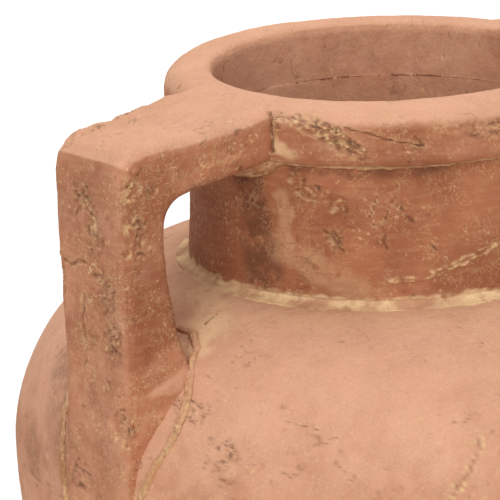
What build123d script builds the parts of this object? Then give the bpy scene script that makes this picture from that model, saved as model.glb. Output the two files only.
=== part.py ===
from build123d import *

import os

# Hand-built terracotta amphora: a wide round belly on a narrow flat foot, a short
# straight neck with a rolled rim, and two square strap handles that leave the rim level
# and drop straight onto the widest part of the belly.
#
# The pot is put together as a potter does it.  A base slab carries a thrown lower bowl,
# the upper bowl is turned over onto it, then come the neck collar and the rim roll.  Every
# ring joint is keyed with a V ridge that runs round the middle of the wall.  The handles
# are saddle-cut straps luted on with wads and beads of slip.  Nothing on it moves.
#
# Millimetres, +Z up, origin at the middle of the foot, handles along X.


# ---------------------------------------------------------------- driving dimensions
height = 372.0  # foot to the top of the rim
belly_radius = 165.0  # outside, at the widest ring
belly_drop = 164.0  # top of the rim down to the widest ring
shoulder_drop = 84.5  # top of the rim down to the flat land that carries the neck
foot_radius = 78.0
base_thickness = 13.0
body_wall = 11.0
neck_radius = 84.5  # outside, just under the rim
neck_wall = 11.5
neck_flare = 2.5  # extra radius where the neck lands on the shoulder
rim_height = 24.5
rim_overhang = 10.0  # rim stands this much proud of the neck

# ring joints
joint_key = 3.0  # height of the V ridge that keys one ring into the next

# foot
foot_edge_radius = 5.0
recess_depth = 2.0  # hollow under the base, which leaves a ring to stand on
foot_ring_width = 20.0

# lower bowl, as the pull of its outline at each end
belly_fullness = 88.0
foot_fullness = 62.0
foot_spread = 36.0  # how far the outline leans out over that last stretch

# rim roll
lip_radius = 5.0  # inner edge of the mouth
crown_radius = 9.0  # outer top edge
roll_radius = 6.5  # outer lower edge

# handles
handle_inset = 1.0  # outer face of the leg in from the widest ring
corner_drop = 8.0  # top of the rim down to the handle's outer corner
root_drop = 3.0  # the same where the arm leaves the rim
arm_thickness = 23.5
leg_thickness = 25.0
leg_spread = 4.0  # the leg thickens inwards by this much as it comes down
strap_width = 44.0
root_width = 57.0  # arm, where it spreads over the rim
foot_width = 68.0  # leg, where it spreads over the shoulder
tail_width = 46.0  # leg, at the widest ring
spread_height = 42.0  # the widest part of the leg's foot above the widest ring
tail_drop = 20.0  # end of the leg below the widest ring
outer_corner_radius = 8.0
inner_corner_radius = 10.0
strap_edge_radius = 4.5

# luting clay
rim_bead_size = 3.5
neck_bead_size = 4.0
wad_reach = 15.0
wad_height = 14.0
wad_width = 40.0
wad_round = 3.0
foot_bead_width = 6.0
foot_bead_height = 4.0
belly_coil_radius = 6.0
base_coil_radius = 7.0
bite = 2.0  # luting pieces start this far inside the pieces they are cut back from

# ---------------------------------------------------------------- worked-out levels
belly_z = height - belly_drop
shoulder_z = height - shoulder_drop
neck_top_z = height - rim_height
neck_foot_radius = neck_radius + neck_flare
neck_bore = neck_radius - neck_wall
rim_radius = neck_radius + rim_overhang
shoulder_reach = belly_radius - neck_foot_radius
shoulder_rise = shoulder_z - belly_z
bowl_bore = belly_radius - body_wall
foot_bore = foot_radius - body_wall
handle_reach = belly_radius - handle_inset
gap_radius = handle_reach - leg_thickness
leg_inner_radius = gap_radius - leg_spread
arm_bottom_z = height - corner_drop - arm_thickness
corner_end_z = arm_bottom_z - inner_corner_radius
saddle_radius = neck_bore + neck_wall / 2  # the raw strap ends here, inside the neck wall
spread_z = belly_z + spread_height
tail_z = belly_z - tail_drop


# ---------------------------------------------------------------- shared outlines
def shoulder_arc(inset):
    """Upper bowl, from the widest ring up to the land, set in by inset."""
    return EllipticalCenterArc(
        (neck_foot_radius, belly_z),
        shoulder_reach - inset,
        shoulder_rise - inset,
        start_angle=0,
        arc_size=90,
    )


def bowl_curve(inset):
    """Lower bowl, from the widest ring down to the base slab, set in by inset."""
    return Bezier(
        (belly_radius - inset, belly_z),
        (belly_radius - inset, belly_z - belly_fullness),
        (foot_radius + foot_spread - inset, base_thickness + foot_fullness),
        (foot_radius - inset, base_thickness),
    )


def neck_curve():
    """Outside of the neck, from the land up to the rim."""
    return Bezier(
        (neck_foot_radius, shoulder_z),
        (neck_radius, shoulder_z + (neck_top_z - shoulder_z) / 4),
        (neck_radius, neck_top_z),
    )


def keyed_joint(outer_radius, inner_radius, z):
    """Joint line across a wall, with the V ridge in its middle."""
    middle = (outer_radius + inner_radius) / 2
    return Polyline((outer_radius, z), (middle, z + joint_key), (inner_radius, z))


def bowls_outside(growth):
    """Outline from the axis round the outside of the two bowls, grown by growth."""
    bowl_curve(-growth)
    shoulder_arc(-growth)
    Polyline(
        (neck_foot_radius, shoulder_z + growth),
        (0, shoulder_z + growth),
        (0, base_thickness),
        (foot_radius + growth, base_thickness),
    )


def leg_front(growth):
    """Half the leg seen from outside: straight strap, spread foot, rounded tail."""
    strap_side = strap_width / 2 + growth
    foot_side = foot_width / 2 + growth
    tail_side = tail_width / 2 + growth
    tail_tip = tail_z - growth
    upper_edge = Bezier(
        (strap_side, corner_end_z),
        (strap_side, shoulder_z - body_wall),
        (foot_side, spread_z + 2 * body_wall),
        (foot_side, spread_z),
    )
    lower_edge = Bezier(
        upper_edge @ 1,
        (foot_side, spread_z - body_wall),
        (tail_side, belly_z + body_wall),
        (tail_side, belly_z),
    )
    tip_edge = Bezier(
        lower_edge @ 1,
        (tail_side, tail_tip),
        (tail_side / 2, tail_tip),
        (0, tail_tip),
    )
    Polyline(
        tip_edge @ 1,
        (0, height),
        (strap_side, height),
        upper_edge @ 0,
    )


def round_corner(sketch, corner, radius):
    """Round the corner of a sketch that lies at the given point."""
    fillet(sketch.vertices().sort_by_distance(corner)[0], radius)


# ---------------------------------------------------------------- vessel
with BuildPart() as base_slab:
    with BuildSketch(Plane.XZ) as slab_profile:
        ring_inner = foot_radius - foot_ring_width
        with BuildLine():
            keyed_joint(foot_radius, foot_bore, base_thickness)
            Polyline(
                (foot_bore, base_thickness),
                (0, base_thickness),
                (0, recess_depth),
                (ring_inner - recess_depth, recess_depth),
                (ring_inner, 0),
                (foot_radius, 0),
                (foot_radius, base_thickness),
            )
        make_face()
        round_corner(slab_profile, (foot_radius, 0), foot_edge_radius)
    revolve(axis=Axis.Z)

with BuildPart() as lower_bowl:
    with BuildSketch(Plane.XZ):
        with BuildLine():
            bowl_curve(0)
            bowl_curve(body_wall)
            keyed_joint(belly_radius, bowl_bore, belly_z)
            keyed_joint(foot_radius, foot_bore, base_thickness)
        make_face()
    revolve(axis=Axis.Z)

with BuildPart() as upper_bowl:
    with BuildSketch(Plane.XZ):
        with BuildLine():
            shoulder_arc(0)
            shoulder_arc(body_wall)
            keyed_joint(belly_radius, bowl_bore, belly_z)
            keyed_joint(neck_foot_radius, neck_bore, shoulder_z)
            Polyline(
                (neck_bore, shoulder_z),
                (neck_bore, shoulder_z - body_wall),
                (neck_foot_radius, shoulder_z - body_wall),
            )
        make_face()
    revolve(axis=Axis.Z)

with BuildPart() as neck_collar:
    with BuildSketch(Plane.XZ):
        with BuildLine():
            neck_curve()
            keyed_joint(neck_radius, neck_bore, neck_top_z)
            keyed_joint(neck_foot_radius, neck_bore, shoulder_z)
            Line((neck_bore, shoulder_z), (neck_bore, neck_top_z))
        make_face()
    revolve(axis=Axis.Z)

with BuildPart() as rim_roll:
    with BuildSketch(Plane.XZ) as rim_profile:
        with BuildLine():
            keyed_joint(neck_radius, neck_bore, neck_top_z)
            Polyline(
                (neck_radius, neck_top_z),
                (rim_radius, neck_top_z),
                (rim_radius, height),
                (neck_bore, height),
                (neck_bore, neck_top_z),
            )
        make_face()
        round_corner(rim_profile, (neck_bore, height), lip_radius)
        round_corner(rim_profile, (rim_radius, height), crown_radius)
        round_corner(rim_profile, (rim_radius, neck_top_z), roll_radius)
    revolve(axis=Axis.Z)

# The closed outside of the vessel, which saddle-cuts all that is luted onto it.
with BuildPart() as envelope:
    with BuildSketch(Plane.XZ):
        with BuildLine():
            bowls_outside(0)
        make_face()
    with BuildSketch(Plane.XZ):
        with BuildLine():
            neck_curve()
            Polyline(
                (neck_radius, neck_top_z),
                (0, neck_top_z),
                (0, shoulder_z),
                (neck_foot_radius, shoulder_z),
            )
        make_face()
    with BuildSketch(Plane.XZ) as rim_block:
        with Locations((0, neck_top_z)):
            Rectangle(rim_radius, rim_height, align=(Align.MIN, Align.MIN))
        round_corner(rim_block, (rim_radius, height), crown_radius)
        round_corner(rim_block, (rim_radius, neck_top_z), roll_radius)
    revolve(axis=Axis.Z)

# ---------------------------------------------------------------- handles
# The strap is its side view, cut to the width it has from above and from the front.
with BuildPart() as strap_widths:
    with BuildSketch(Plane.XY.offset(height)):
        with BuildLine():
            arm_side = Bezier(
                (saddle_radius, root_width / 2),
                (rim_radius, root_width / 2),
                ((rim_radius + gap_radius) / 2, strap_width / 2),
                (leg_inner_radius, strap_width / 2),
            )
            Polyline(
                arm_side @ 1,
                (handle_reach, strap_width / 2),
                (handle_reach, 0),
                (saddle_radius, 0),
                arm_side @ 0,
            )
        make_face()
        mirror(about=Plane.XZ)
    extrude(amount=corner_end_z - height)
    with BuildSketch(Plane.YZ.offset(leg_inner_radius)):
        with BuildLine():
            leg_front(0)
        make_face()
        mirror(about=Plane.YZ)
    extrude(amount=handle_reach - leg_inner_radius)

with BuildPart() as handle_right:
    with BuildSketch(Plane.XZ) as strap_profile:
        with BuildLine():
            Polyline(
                (saddle_radius, height - root_drop),
                (handle_reach, height - corner_drop),
                (handle_reach, tail_z),
                (leg_inner_radius, tail_z),
                (leg_inner_radius, shoulder_z),
                (gap_radius, arm_bottom_z),
                (saddle_radius, neck_top_z),
                close=True,
            )
        make_face()
        round_corner(strap_profile, (handle_reach, height - corner_drop), outer_corner_radius)
        round_corner(strap_profile, (gap_radius, arm_bottom_z), inner_corner_radius)
    extrude(amount=foot_width, both=True)
    add(strap_widths.part, mode=Mode.INTERSECT)
    # every face that crosses the strap, but for its raw end, has its long edges rounded
    crossing = handle_right.faces().filter_by(lambda f: abs(f.center().Y) < bite)
    crossing = crossing.filter_by(lambda f: f.center().X > saddle_radius + bite)
    edge_limit = (gap_radius - rim_radius) / 4  # a short arm spreads too fast for more
    fillet(
        crossing.edges().filter_by(Axis.Y, reverse=True),
        min(strap_edge_radius, edge_limit),
    )
    add(envelope.part, mode=Mode.SUBTRACT)

with BuildPart() as handle_left:
    add(handle_right.part, rotation=(0, 0, 180))

# ---------------------------------------------------------------- luting clay
with BuildPart() as belly_coil:
    with BuildSketch(Plane.XZ):
        with Locations((bowl_bore - bite, belly_z)):
            Circle(belly_coil_radius)
    revolve(axis=Axis.Z)
    add(lower_bowl.part, mode=Mode.SUBTRACT)
    add(upper_bowl.part, mode=Mode.SUBTRACT)

with BuildPart() as base_coil:
    with BuildSketch(Plane.XZ):
        with Locations((foot_bore - bite, base_thickness + bite)):
            Circle(base_coil_radius)
    revolve(axis=Axis.Z)
    add(lower_bowl.part, mode=Mode.SUBTRACT)
    add(base_slab.part, mode=Mode.SUBTRACT)

with BuildPart() as wad_right:
    with BuildSketch(Plane.XZ):
        with BuildLine():
            Polyline(
                (neck_radius - bite, neck_top_z - wad_height),
                (neck_radius - bite, arm_bottom_z + arm_thickness / 2),
                (neck_radius + wad_reach, arm_bottom_z + arm_thickness / 2),
                (neck_radius + wad_reach, arm_bottom_z),
                (neck_radius, neck_top_z - wad_height),
                close=True,
            )
        make_face()
    extrude(amount=wad_width / 2, both=True)
    sides = wad_right.faces().filter_by(Axis.Y).edges().filter_by(GeomType.LINE)
    fillet(sides.filter_by(lambda e: e.center().X > neck_radius + 1), wad_round)
    add(envelope.part, mode=Mode.SUBTRACT)
    add(handle_right.part, mode=Mode.SUBTRACT)

with BuildPart() as wad_left:
    add(wad_right.part, rotation=(0, 0, 180))

with BuildPart() as rim_bead_back:
    with BuildSketch(Plane.XZ):
        with BuildLine():
            Polyline(
                (neck_radius - bite, neck_top_z),
                (neck_radius + rim_bead_size, neck_top_z),
                (neck_radius, neck_top_z - rim_bead_size),
                (neck_radius - bite, neck_top_z - rim_bead_size),
                close=True,
            )
        make_face()
    revolve(axis=Axis.Z, revolution_arc=180)
    add(envelope.part, mode=Mode.SUBTRACT)
    for luted in (handle_right, handle_left, wad_right, wad_left):
        add(luted.part, mode=Mode.SUBTRACT)

with BuildPart() as rim_bead_front:
    add(rim_bead_back.part, rotation=(0, 0, 180))

with BuildPart() as neck_bead:
    with BuildSketch(Plane.XZ):
        with BuildLine():
            Line(
                (neck_foot_radius - bite, shoulder_z + neck_bead_size),
                (neck_foot_radius, shoulder_z + neck_bead_size),
            )
            Bezier(
                (neck_foot_radius, shoulder_z + neck_bead_size),
                (neck_foot_radius + neck_bead_size / 4, shoulder_z + neck_bead_size / 4),
                (neck_foot_radius + 2 * neck_bead_size, shoulder_z),
            )
            Polyline(
                (neck_foot_radius + 2 * neck_bead_size, shoulder_z),
                (neck_foot_radius + 2 * neck_bead_size, shoulder_z - neck_bead_size),
                (neck_foot_radius - bite, shoulder_z - neck_bead_size),
                (neck_foot_radius - bite, shoulder_z + neck_bead_size),
            )
        make_face()
    revolve(axis=Axis.Z)
    add(envelope.part, mode=Mode.SUBTRACT)

# A collar of slip round the leg's foot: the foot's front view, grown sideways, cut to a
# thin skin on the bowls.
with BuildPart() as foot_bead_right:
    with BuildSketch(Plane.YZ.offset(leg_inner_radius - foot_bead_width)):
        with BuildLine():
            leg_front(foot_bead_width)
        make_face()
        mirror(about=Plane.YZ)
    extrude(amount=leg_thickness + leg_spread + foot_bead_width)
    with BuildSketch(Plane.XZ):
        with BuildLine():
            bowls_outside(foot_bead_height)
        make_face()
    revolve(axis=Axis.Z, mode=Mode.INTERSECT)
    add(envelope.part, mode=Mode.SUBTRACT)
    with BuildSketch(Plane.YZ.offset(leg_inner_radius)):
        with BuildLine():
            leg_front(0)
        make_face()
        mirror(about=Plane.YZ)
    extrude(amount=leg_thickness + leg_spread, mode=Mode.SUBTRACT)
    add(neck_bead.part, mode=Mode.SUBTRACT)

with BuildPart() as foot_bead_left:
    add(foot_bead_right.part, rotation=(0, 0, 180))

# ---------------------------------------------------------------- files
pieces = {
    "base_slab": base_slab,
    "lower_bowl": lower_bowl,
    "upper_bowl": upper_bowl,
    "neck_collar": neck_collar,
    "rim_roll": rim_roll,
    "handle_right": handle_right,
    "handle_left": handle_left,
    "belly_coil": belly_coil,
    "base_coil": base_coil,
    "wad_right": wad_right,
    "wad_left": wad_left,
    "rim_bead_back": rim_bead_back,
    "rim_bead_front": rim_bead_front,
    "neck_bead": neck_bead,
    "foot_bead_right": foot_bead_right,
    "foot_bead_left": foot_bead_left,
}
os.makedirs("parts", exist_ok=True)
for name, piece in pieces.items():
    piece.part.label = name
    export_step(piece.part, f"parts/{name}.step")
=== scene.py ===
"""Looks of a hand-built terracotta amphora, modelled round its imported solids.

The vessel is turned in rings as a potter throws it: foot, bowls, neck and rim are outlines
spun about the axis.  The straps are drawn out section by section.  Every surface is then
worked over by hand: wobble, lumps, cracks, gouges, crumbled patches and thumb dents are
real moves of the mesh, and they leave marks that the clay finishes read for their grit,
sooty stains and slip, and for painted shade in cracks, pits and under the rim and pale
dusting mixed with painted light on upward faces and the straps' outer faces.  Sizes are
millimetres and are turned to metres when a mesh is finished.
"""

import logging
import math
from collections.abc import Sequence
from dataclasses import dataclass
from enum import Enum

import bmesh
import bpy
import numpy as np
from mathutils import Matrix, Vector


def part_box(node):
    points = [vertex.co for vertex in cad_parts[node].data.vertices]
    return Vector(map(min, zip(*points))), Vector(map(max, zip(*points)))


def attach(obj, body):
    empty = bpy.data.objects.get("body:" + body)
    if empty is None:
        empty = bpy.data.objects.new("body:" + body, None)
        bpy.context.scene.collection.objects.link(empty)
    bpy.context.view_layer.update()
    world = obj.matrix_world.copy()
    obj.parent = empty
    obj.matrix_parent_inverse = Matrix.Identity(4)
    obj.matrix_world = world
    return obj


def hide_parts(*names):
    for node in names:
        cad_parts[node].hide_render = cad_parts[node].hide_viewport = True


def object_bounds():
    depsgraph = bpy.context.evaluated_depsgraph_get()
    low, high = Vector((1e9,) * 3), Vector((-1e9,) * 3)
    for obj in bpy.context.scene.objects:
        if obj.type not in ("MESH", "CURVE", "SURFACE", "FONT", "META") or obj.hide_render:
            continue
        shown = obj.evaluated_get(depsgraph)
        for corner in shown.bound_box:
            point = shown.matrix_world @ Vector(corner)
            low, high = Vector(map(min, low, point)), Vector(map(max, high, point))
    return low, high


log = logging.getLogger("amphora")

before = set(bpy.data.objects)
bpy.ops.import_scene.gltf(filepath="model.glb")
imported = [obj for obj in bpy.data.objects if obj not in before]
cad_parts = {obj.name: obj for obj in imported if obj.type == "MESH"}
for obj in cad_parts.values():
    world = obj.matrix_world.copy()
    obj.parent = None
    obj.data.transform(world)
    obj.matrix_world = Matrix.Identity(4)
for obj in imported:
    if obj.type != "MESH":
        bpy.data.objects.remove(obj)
CAD_BOX = [list(corner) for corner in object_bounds()]

MM = 0.001
FRONT_START = -218.0  # azimuth in degrees where the finely turned side begins
FRONT_SWEEP = 172.0  # and how far it runs round
Point2 = tuple[float, float]
Point3 = tuple[float, float, float]


class Slot(Enum):
    """Material slots of the record that a piece takes its finish from."""

    VESSEL = "terracotta_vessel"
    HANDLE = "terracotta_handle"
    SLIP = "clay_slip"
    COIL = "coil_clay"


class Trace(Enum):
    """What hand work leaves on a surface, kept as one number at each vertex."""

    GRIT = "grit"
    # Painted shade: darkens cracks, pits, scratches and crumb splits, where shadow would fall.
    CREVICE_SHADE = "crevice_shade"
    # Sooty stains, and also painted shadow under the rim and along the near strap's inner edges.
    SOOT_AND_SHADOW = "soot_and_shadow"
    SLIP = "slip"
    # Pale dusting, and also painted light on upward faces and on the straps' outer faces.
    DUST_AND_LIGHT = "dust_and_light"


# ------------------------------------------------------------------ noise for the clay
class Noise:
    """Seeded smooth noise in three directions, about -1 to 1."""

    def __init__(self, seed: int) -> None:
        """Draw the lattice.

        Args:
            seed: Number that fixes the whole pattern.
        """
        draw = np.random.default_rng(seed)
        self.order = np.concatenate([draw.permutation(256)] * 2)
        slopes = draw.normal(size=(256, 3))
        self.slopes = slopes / np.linalg.norm(slopes, axis=1)[:, None]

    def at(self, points: np.ndarray, grain: float) -> np.ndarray:
        """Read one layer of noise.

        Args:
            points: Places in millimetres, one row each.
            grain: Size of the lumps in millimetres.

        Returns:
            One value for each place.
        """
        spot = points / grain
        cell = np.floor(spot).astype(int)
        part = spot - cell
        ease = part * part * part * (part * (part * 6 - 15) + 10)
        total = np.zeros(len(points))
        for corner in np.ndindex(2, 2, 2):
            step = np.array(corner)
            index = (cell + step) & 255
            key = self.order[self.order[self.order[index[:, 0]] + index[:, 1]] + index[:, 2]]
            slope = (self.slopes[key] * (part - step)).sum(axis=1)
            weight = np.where(step == 1, ease, 1 - ease).prod(axis=1)
            total += slope * weight
        return total * 1.6

    def layers(self, points: np.ndarray, grain: float, count: int, fade: float = 0.5) -> np.ndarray:
        """Sum finer and finer layers of noise.

        Args:
            points: Places in millimetres.
            grain: Size of the largest lumps in millimetres.
            count: Number of layers, each half the grain of the last.
            fade: Strength of each layer against the last.

        Returns:
            One value for each place, about -1 to 1.
        """
        total = np.zeros(len(points))
        weight = 1.0
        share = 0.0
        for layer in range(count):
            total += weight * self.at(points + 37.0 * layer, grain / 2**layer)
            share += weight
            weight *= fade
        return total / share

    def veins(self, points: np.ndarray, grain: float, width: float) -> np.ndarray:
        """Thin wandering lines, 1 along a line and 0 away from it.

        Args:
            points: Places in millimetres.
            grain: Distance between lines in millimetres, about.
            width: Width of a line as a share of the grain.

        Returns:
            One value for each place.
        """
        value = np.abs(self.layers(points, grain, 2))
        return ramp(width - value, 0.0, width)


BODY_NOISE = Noise(11)
MARK_NOISE = Noise(29)


def ramp(value: np.ndarray, low: float, high: float) -> np.ndarray:
    """Smooth step from 0 at low to 1 at high."""
    share = np.clip((value - low) / (high - low), 0.0, 1.0)
    return share * share * (3 - 2 * share)


# ------------------------------------------------------------------ outlines
def arc(centre: Point2, radii: Point2, start: float, end: float, step: float) -> list[Point2]:
    """Points along an elliptical arc.

    Args:
        centre: Middle of the ellipse, as radius and height.
        radii: Its two radii.
        start: First angle in degrees.
        end: Last angle in degrees.
        step: Distance between points, about.

    Returns:
        Points from start to end, both included.
    """
    length = abs(math.radians(end - start)) * max(radii)
    count = max(2, round(length / step))
    turn = np.radians(np.linspace(start, end, count + 1))
    return [
        (centre[0] + radii[0] * math.cos(a), centre[1] + radii[1] * math.sin(a)) for a in turn
    ]


def curve(controls: Sequence[Point2], step: float) -> list[Point2]:
    """Points along a Bezier curve of three or four controls, about step apart."""
    length = sum(math.dist(a, b) for a, b in zip(controls, controls[1:]))
    count = max(2, round(length / step))
    points = []
    for share in np.linspace(0, 1, count + 1):
        row = [np.array(c, float) for c in controls]
        while len(row) > 1:
            row = [a * (1 - share) + b * share for a, b in zip(row, row[1:])]
        points.append((float(row[0][0]), float(row[0][1])))
    return points


def straight(start: Point2, end: Point2, step: float) -> list[Point2]:
    """Points along a straight line, about step apart."""
    return curve((start, end), step)


def joined(*stretches: Sequence[Point2]) -> list[Point2]:
    """One outline from stretches whose ends meet."""
    points: list[Point2] = []
    for stretch in stretches:
        for point in stretch:
            if not points or math.dist(point, points[-1]) > 1e-4:
                points.append(point)
    return points


def on_ring(azimuth: float, height: float, radius: float) -> Point3:
    """Place on the vessel at an azimuth in degrees."""
    turn = math.radians(azimuth)
    return radius * math.cos(turn), radius * math.sin(turn), height


# ------------------------------------------------------------------ the potter's hands
def clear_selection() -> None:
    """Leave nothing selected, so that an operator acts on the new piece alone."""
    if bpy.context.object and bpy.context.object.mode != "OBJECT":
        bpy.ops.object.mode_set(mode="OBJECT")
    bpy.ops.object.select_all(action="DESELECT")


def wake(piece: bpy.types.Object) -> None:
    """Make a piece the only one selected, and active."""
    clear_selection()
    piece.select_set(True)
    bpy.context.view_layer.objects.active = piece


def seed_point(name: str, place: Point3) -> bpy.types.Object:
    """Start a piece as one vertex, left selected in edit mode.

    Args:
        name: Name of the piece.
        place: Where the vertex is.

    Returns:
        The new object, in edit mode.
    """
    clear_selection()
    bpy.ops.mesh.primitive_plane_add(size=1.0, location=place)
    piece = bpy.context.object
    piece.name = name
    bpy.ops.object.mode_set(mode="EDIT")
    bpy.ops.mesh.select_all(action="SELECT")
    bpy.ops.mesh.merge(type="CENTER")
    return piece


def turn_outline(name: str, outline: Sequence[Point2], front: float, rear: float) -> bpy.types.Object:
    """Spin an outline about the axis, finely on the front and coarser behind.

    Args:
        name: Name of the piece.
        outline: Points of radius and height, in order.
        front: Distance between columns on the front, at the widest point.
        rear: The same on the far side.

    Returns:
        The turned piece, in object mode, closed round the axis.
    """
    last = Vector(on_ring(FRONT_START, outline[0][1], outline[0][0]))
    piece = seed_point(name, tuple(last))
    for radius, height in outline[1:]:
        place = Vector(on_ring(FRONT_START, height, radius))
        bpy.ops.mesh.extrude_vertices_move(TRANSFORM_OT_translate={"value": place - last})
        last = place
    bpy.ops.mesh.select_all(action="SELECT")
    widest = max(radius for radius, _ in outline)
    for sweep, spacing in ((FRONT_SWEEP, front), (360.0 - FRONT_SWEEP, rear)):
        angle = math.radians(sweep)
        steps = max(8, round(angle * widest / spacing))
        bpy.ops.mesh.spin(steps=steps, angle=angle, center=(0, 0, 0), axis=(0, 0, 1))
    bpy.ops.mesh.select_all(action="SELECT")
    bpy.ops.mesh.remove_doubles(threshold=0.02)
    bpy.ops.mesh.normals_make_consistent(inside=False)
    bpy.ops.object.mode_set(mode="OBJECT")
    bpy.ops.object.transform_apply(location=True, rotation=True, scale=True)
    return piece


def draw_out(name: str, rings: Sequence[Sequence[Point3]], closed: bool) -> bpy.types.Object:
    """Draw a bar of clay out ring by ring.

    Args:
        name: Name of the piece.
        rings: Corners of each section, the same number in each.
        closed: Whether the last ring runs back into the first.

    Returns:
        The bar, in object mode, with its ends capped or bridged.
    """
    clear_selection()
    bpy.ops.mesh.primitive_circle_add(vertices=len(rings[0]), radius=1.0)
    piece = bpy.context.object
    piece.name = name
    bpy.ops.object.mode_set(mode="EDIT")
    bpy.ops.mesh.select_all(action="SELECT")
    for number, ring in enumerate(rings):
        if number:
            bpy.ops.mesh.extrude_edges_move()
        pull_corners(piece, ring)
    ends = (0, len(rings) - 1)
    bpy.ops.mesh.select_all(action="DESELECT")
    if closed:
        pick_rings(piece, ends, len(rings[0]))
        bpy.ops.mesh.bridge_edge_loops()
    else:
        for end in ends:
            bpy.ops.mesh.select_all(action="DESELECT")
            pick_rings(piece, (end,), len(rings[0]))
            bpy.ops.mesh.edge_face_add()
    bpy.ops.mesh.select_all(action="SELECT")
    bpy.ops.mesh.normals_make_consistent(inside=False)
    bpy.ops.object.mode_set(mode="OBJECT")
    return piece


def pull_corners(piece: bpy.types.Object, ring: Sequence[Point3]) -> None:
    """Pull the selected corners of a bar in edit mode to the places of a ring."""
    shape = bmesh.from_edit_mesh(piece.data)
    corners = [v for v in shape.verts if v.select]
    for corner, place in zip(corners, ring):
        corner.co = place
    bmesh.update_edit_mesh(piece.data)


def pick_rings(piece: bpy.types.Object, numbers: Sequence[int], corners: int) -> None:
    """Select whole rings of a bar in edit mode, counted from its start."""
    shape = bmesh.from_edit_mesh(piece.data)
    shape.verts.ensure_lookup_table()
    for number in numbers:
        for vertex in shape.verts[number * corners : (number + 1) * corners]:
            vertex.select = True
    shape.select_flush(True)
    bmesh.update_edit_mesh(piece.data)


def apply_modifier(piece: bpy.types.Object, kind: str, **settings: object) -> None:
    """Add a modifier to a piece and apply it at once.

    Args:
        piece: The piece.
        kind: Modifier type.
        settings: Values of the modifier.
    """
    wake(piece)
    modifier = piece.modifiers.new(kind.lower(), kind)
    for key, value in settings.items():
        setattr(modifier, key, value)
    bpy.ops.object.modifier_apply(modifier=modifier.name)


def even_skin(piece: bpy.types.Object, grain: float, passes: int) -> None:
    """Give a bar one even close mesh, and soften it.

    Args:
        piece: The bar.
        grain: Size of the mesh in millimetres.
        passes: Rounds of smoothing.
    """
    apply_modifier(piece, "REMESH", mode="VOXEL", voxel_size=grain)
    if passes:
        apply_modifier(piece, "SMOOTH", factor=0.5, iterations=passes)


class Surface:
    """A piece's vertices while they are worked, in millimetres."""

    def __init__(self, piece: bpy.types.Object) -> None:
        """Read a piece.

        Args:
            piece: A piece in object mode.
        """
        self.piece = piece
        mesh = piece.data
        count = len(mesh.vertices)
        self.points = np.empty(count * 3)
        mesh.vertices.foreach_get("co", self.points)
        self.points = self.points.reshape(-1, 3)
        self.normals = np.empty(count * 3)
        mesh.vertex_normals.foreach_get("vector", self.normals)
        self.normals = self.normals.reshape(-1, 3)
        self.start = self.points.copy()
        self.traces = {trace: np.zeros(count) for trace in Trace}

    def push(self, amount: np.ndarray, where: np.ndarray | slice = slice(None)) -> None:
        """Move vertices along their normals by so many millimetres.

        Args:
            amount: How far, one value for each vertex moved.
            where: Which vertices; all of them unless given.
        """
        self.points[where] += self.normals[where] * amount[:, None]

    def leave(
        self, trace: Trace, amount: np.ndarray, where: np.ndarray | slice = slice(None)
    ) -> None:
        """Leave a trace where it is stronger than what is there.

        Args:
            trace: The trace.
            amount: How strong, one value for each vertex marked.
            where: Which vertices; all of them unless given.
        """
        kept = self.traces[trace]
        kept[where] = np.maximum(kept[where], amount)

    def near(self, places: np.ndarray, reach: float) -> np.ndarray:
        """Which vertices lie in the box round some places, grown by reach."""
        low = places.min(axis=0) - reach
        high = places.max(axis=0) + reach
        return np.flatnonzero(((self.start > low) & (self.start < high)).all(axis=1))

    def finish(self) -> None:
        """Write the vertices back in metres, and the traces as attributes."""
        mesh = self.piece.data
        mesh.vertices.foreach_set("co", (self.points * MM).ravel())
        for trace, amount in self.traces.items():
            layer = mesh.attributes.new(trace.value, "FLOAT", "POINT")
            layer.data.foreach_set("value", np.clip(amount, 0.0, 1.0).astype(np.float32))
        mesh.update()
        wake(self.piece)
        bpy.ops.object.shade_smooth()


# ------------------------------------------------------------------ marks left by hand and kiln
def along(points: np.ndarray, path: np.ndarray) -> tuple[np.ndarray, np.ndarray]:
    """Measure points against a path.

    Args:
        points: Places, one row each.
        path: Corners of the path, two or more.

    Returns:
        Distance of each point from the path, and the share of its length where it is nearest.
    """
    best = np.full(len(points), 1e9)
    share = np.zeros(len(points))
    lengths = np.linalg.norm(np.diff(path, axis=0), axis=1)
    total = lengths.sum()
    gone = 0.0
    for start, end, length in zip(path, path[1:], lengths):
        way = end - start
        part = np.clip((points - start) @ way / max(length * length, 1e-9), 0.0, 1.0)
        away = np.linalg.norm(points - start - part[:, None] * way, axis=1)
        closer = away < best
        best = np.where(closer, away, best)
        share = np.where(closer, (gone + part * length) / max(total, 1e-9), share)
        gone += length
    return best, share


def shaken(points: np.ndarray, grain: float, amount: float) -> np.ndarray:
    """Places moved about by noise, so that what is measured from them turns ragged."""
    shift = [MARK_NOISE.layers(points + 100.0 * (axis + 1), grain, 2) for axis in range(3)]
    return points + amount * np.stack(shift, axis=1)


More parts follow.
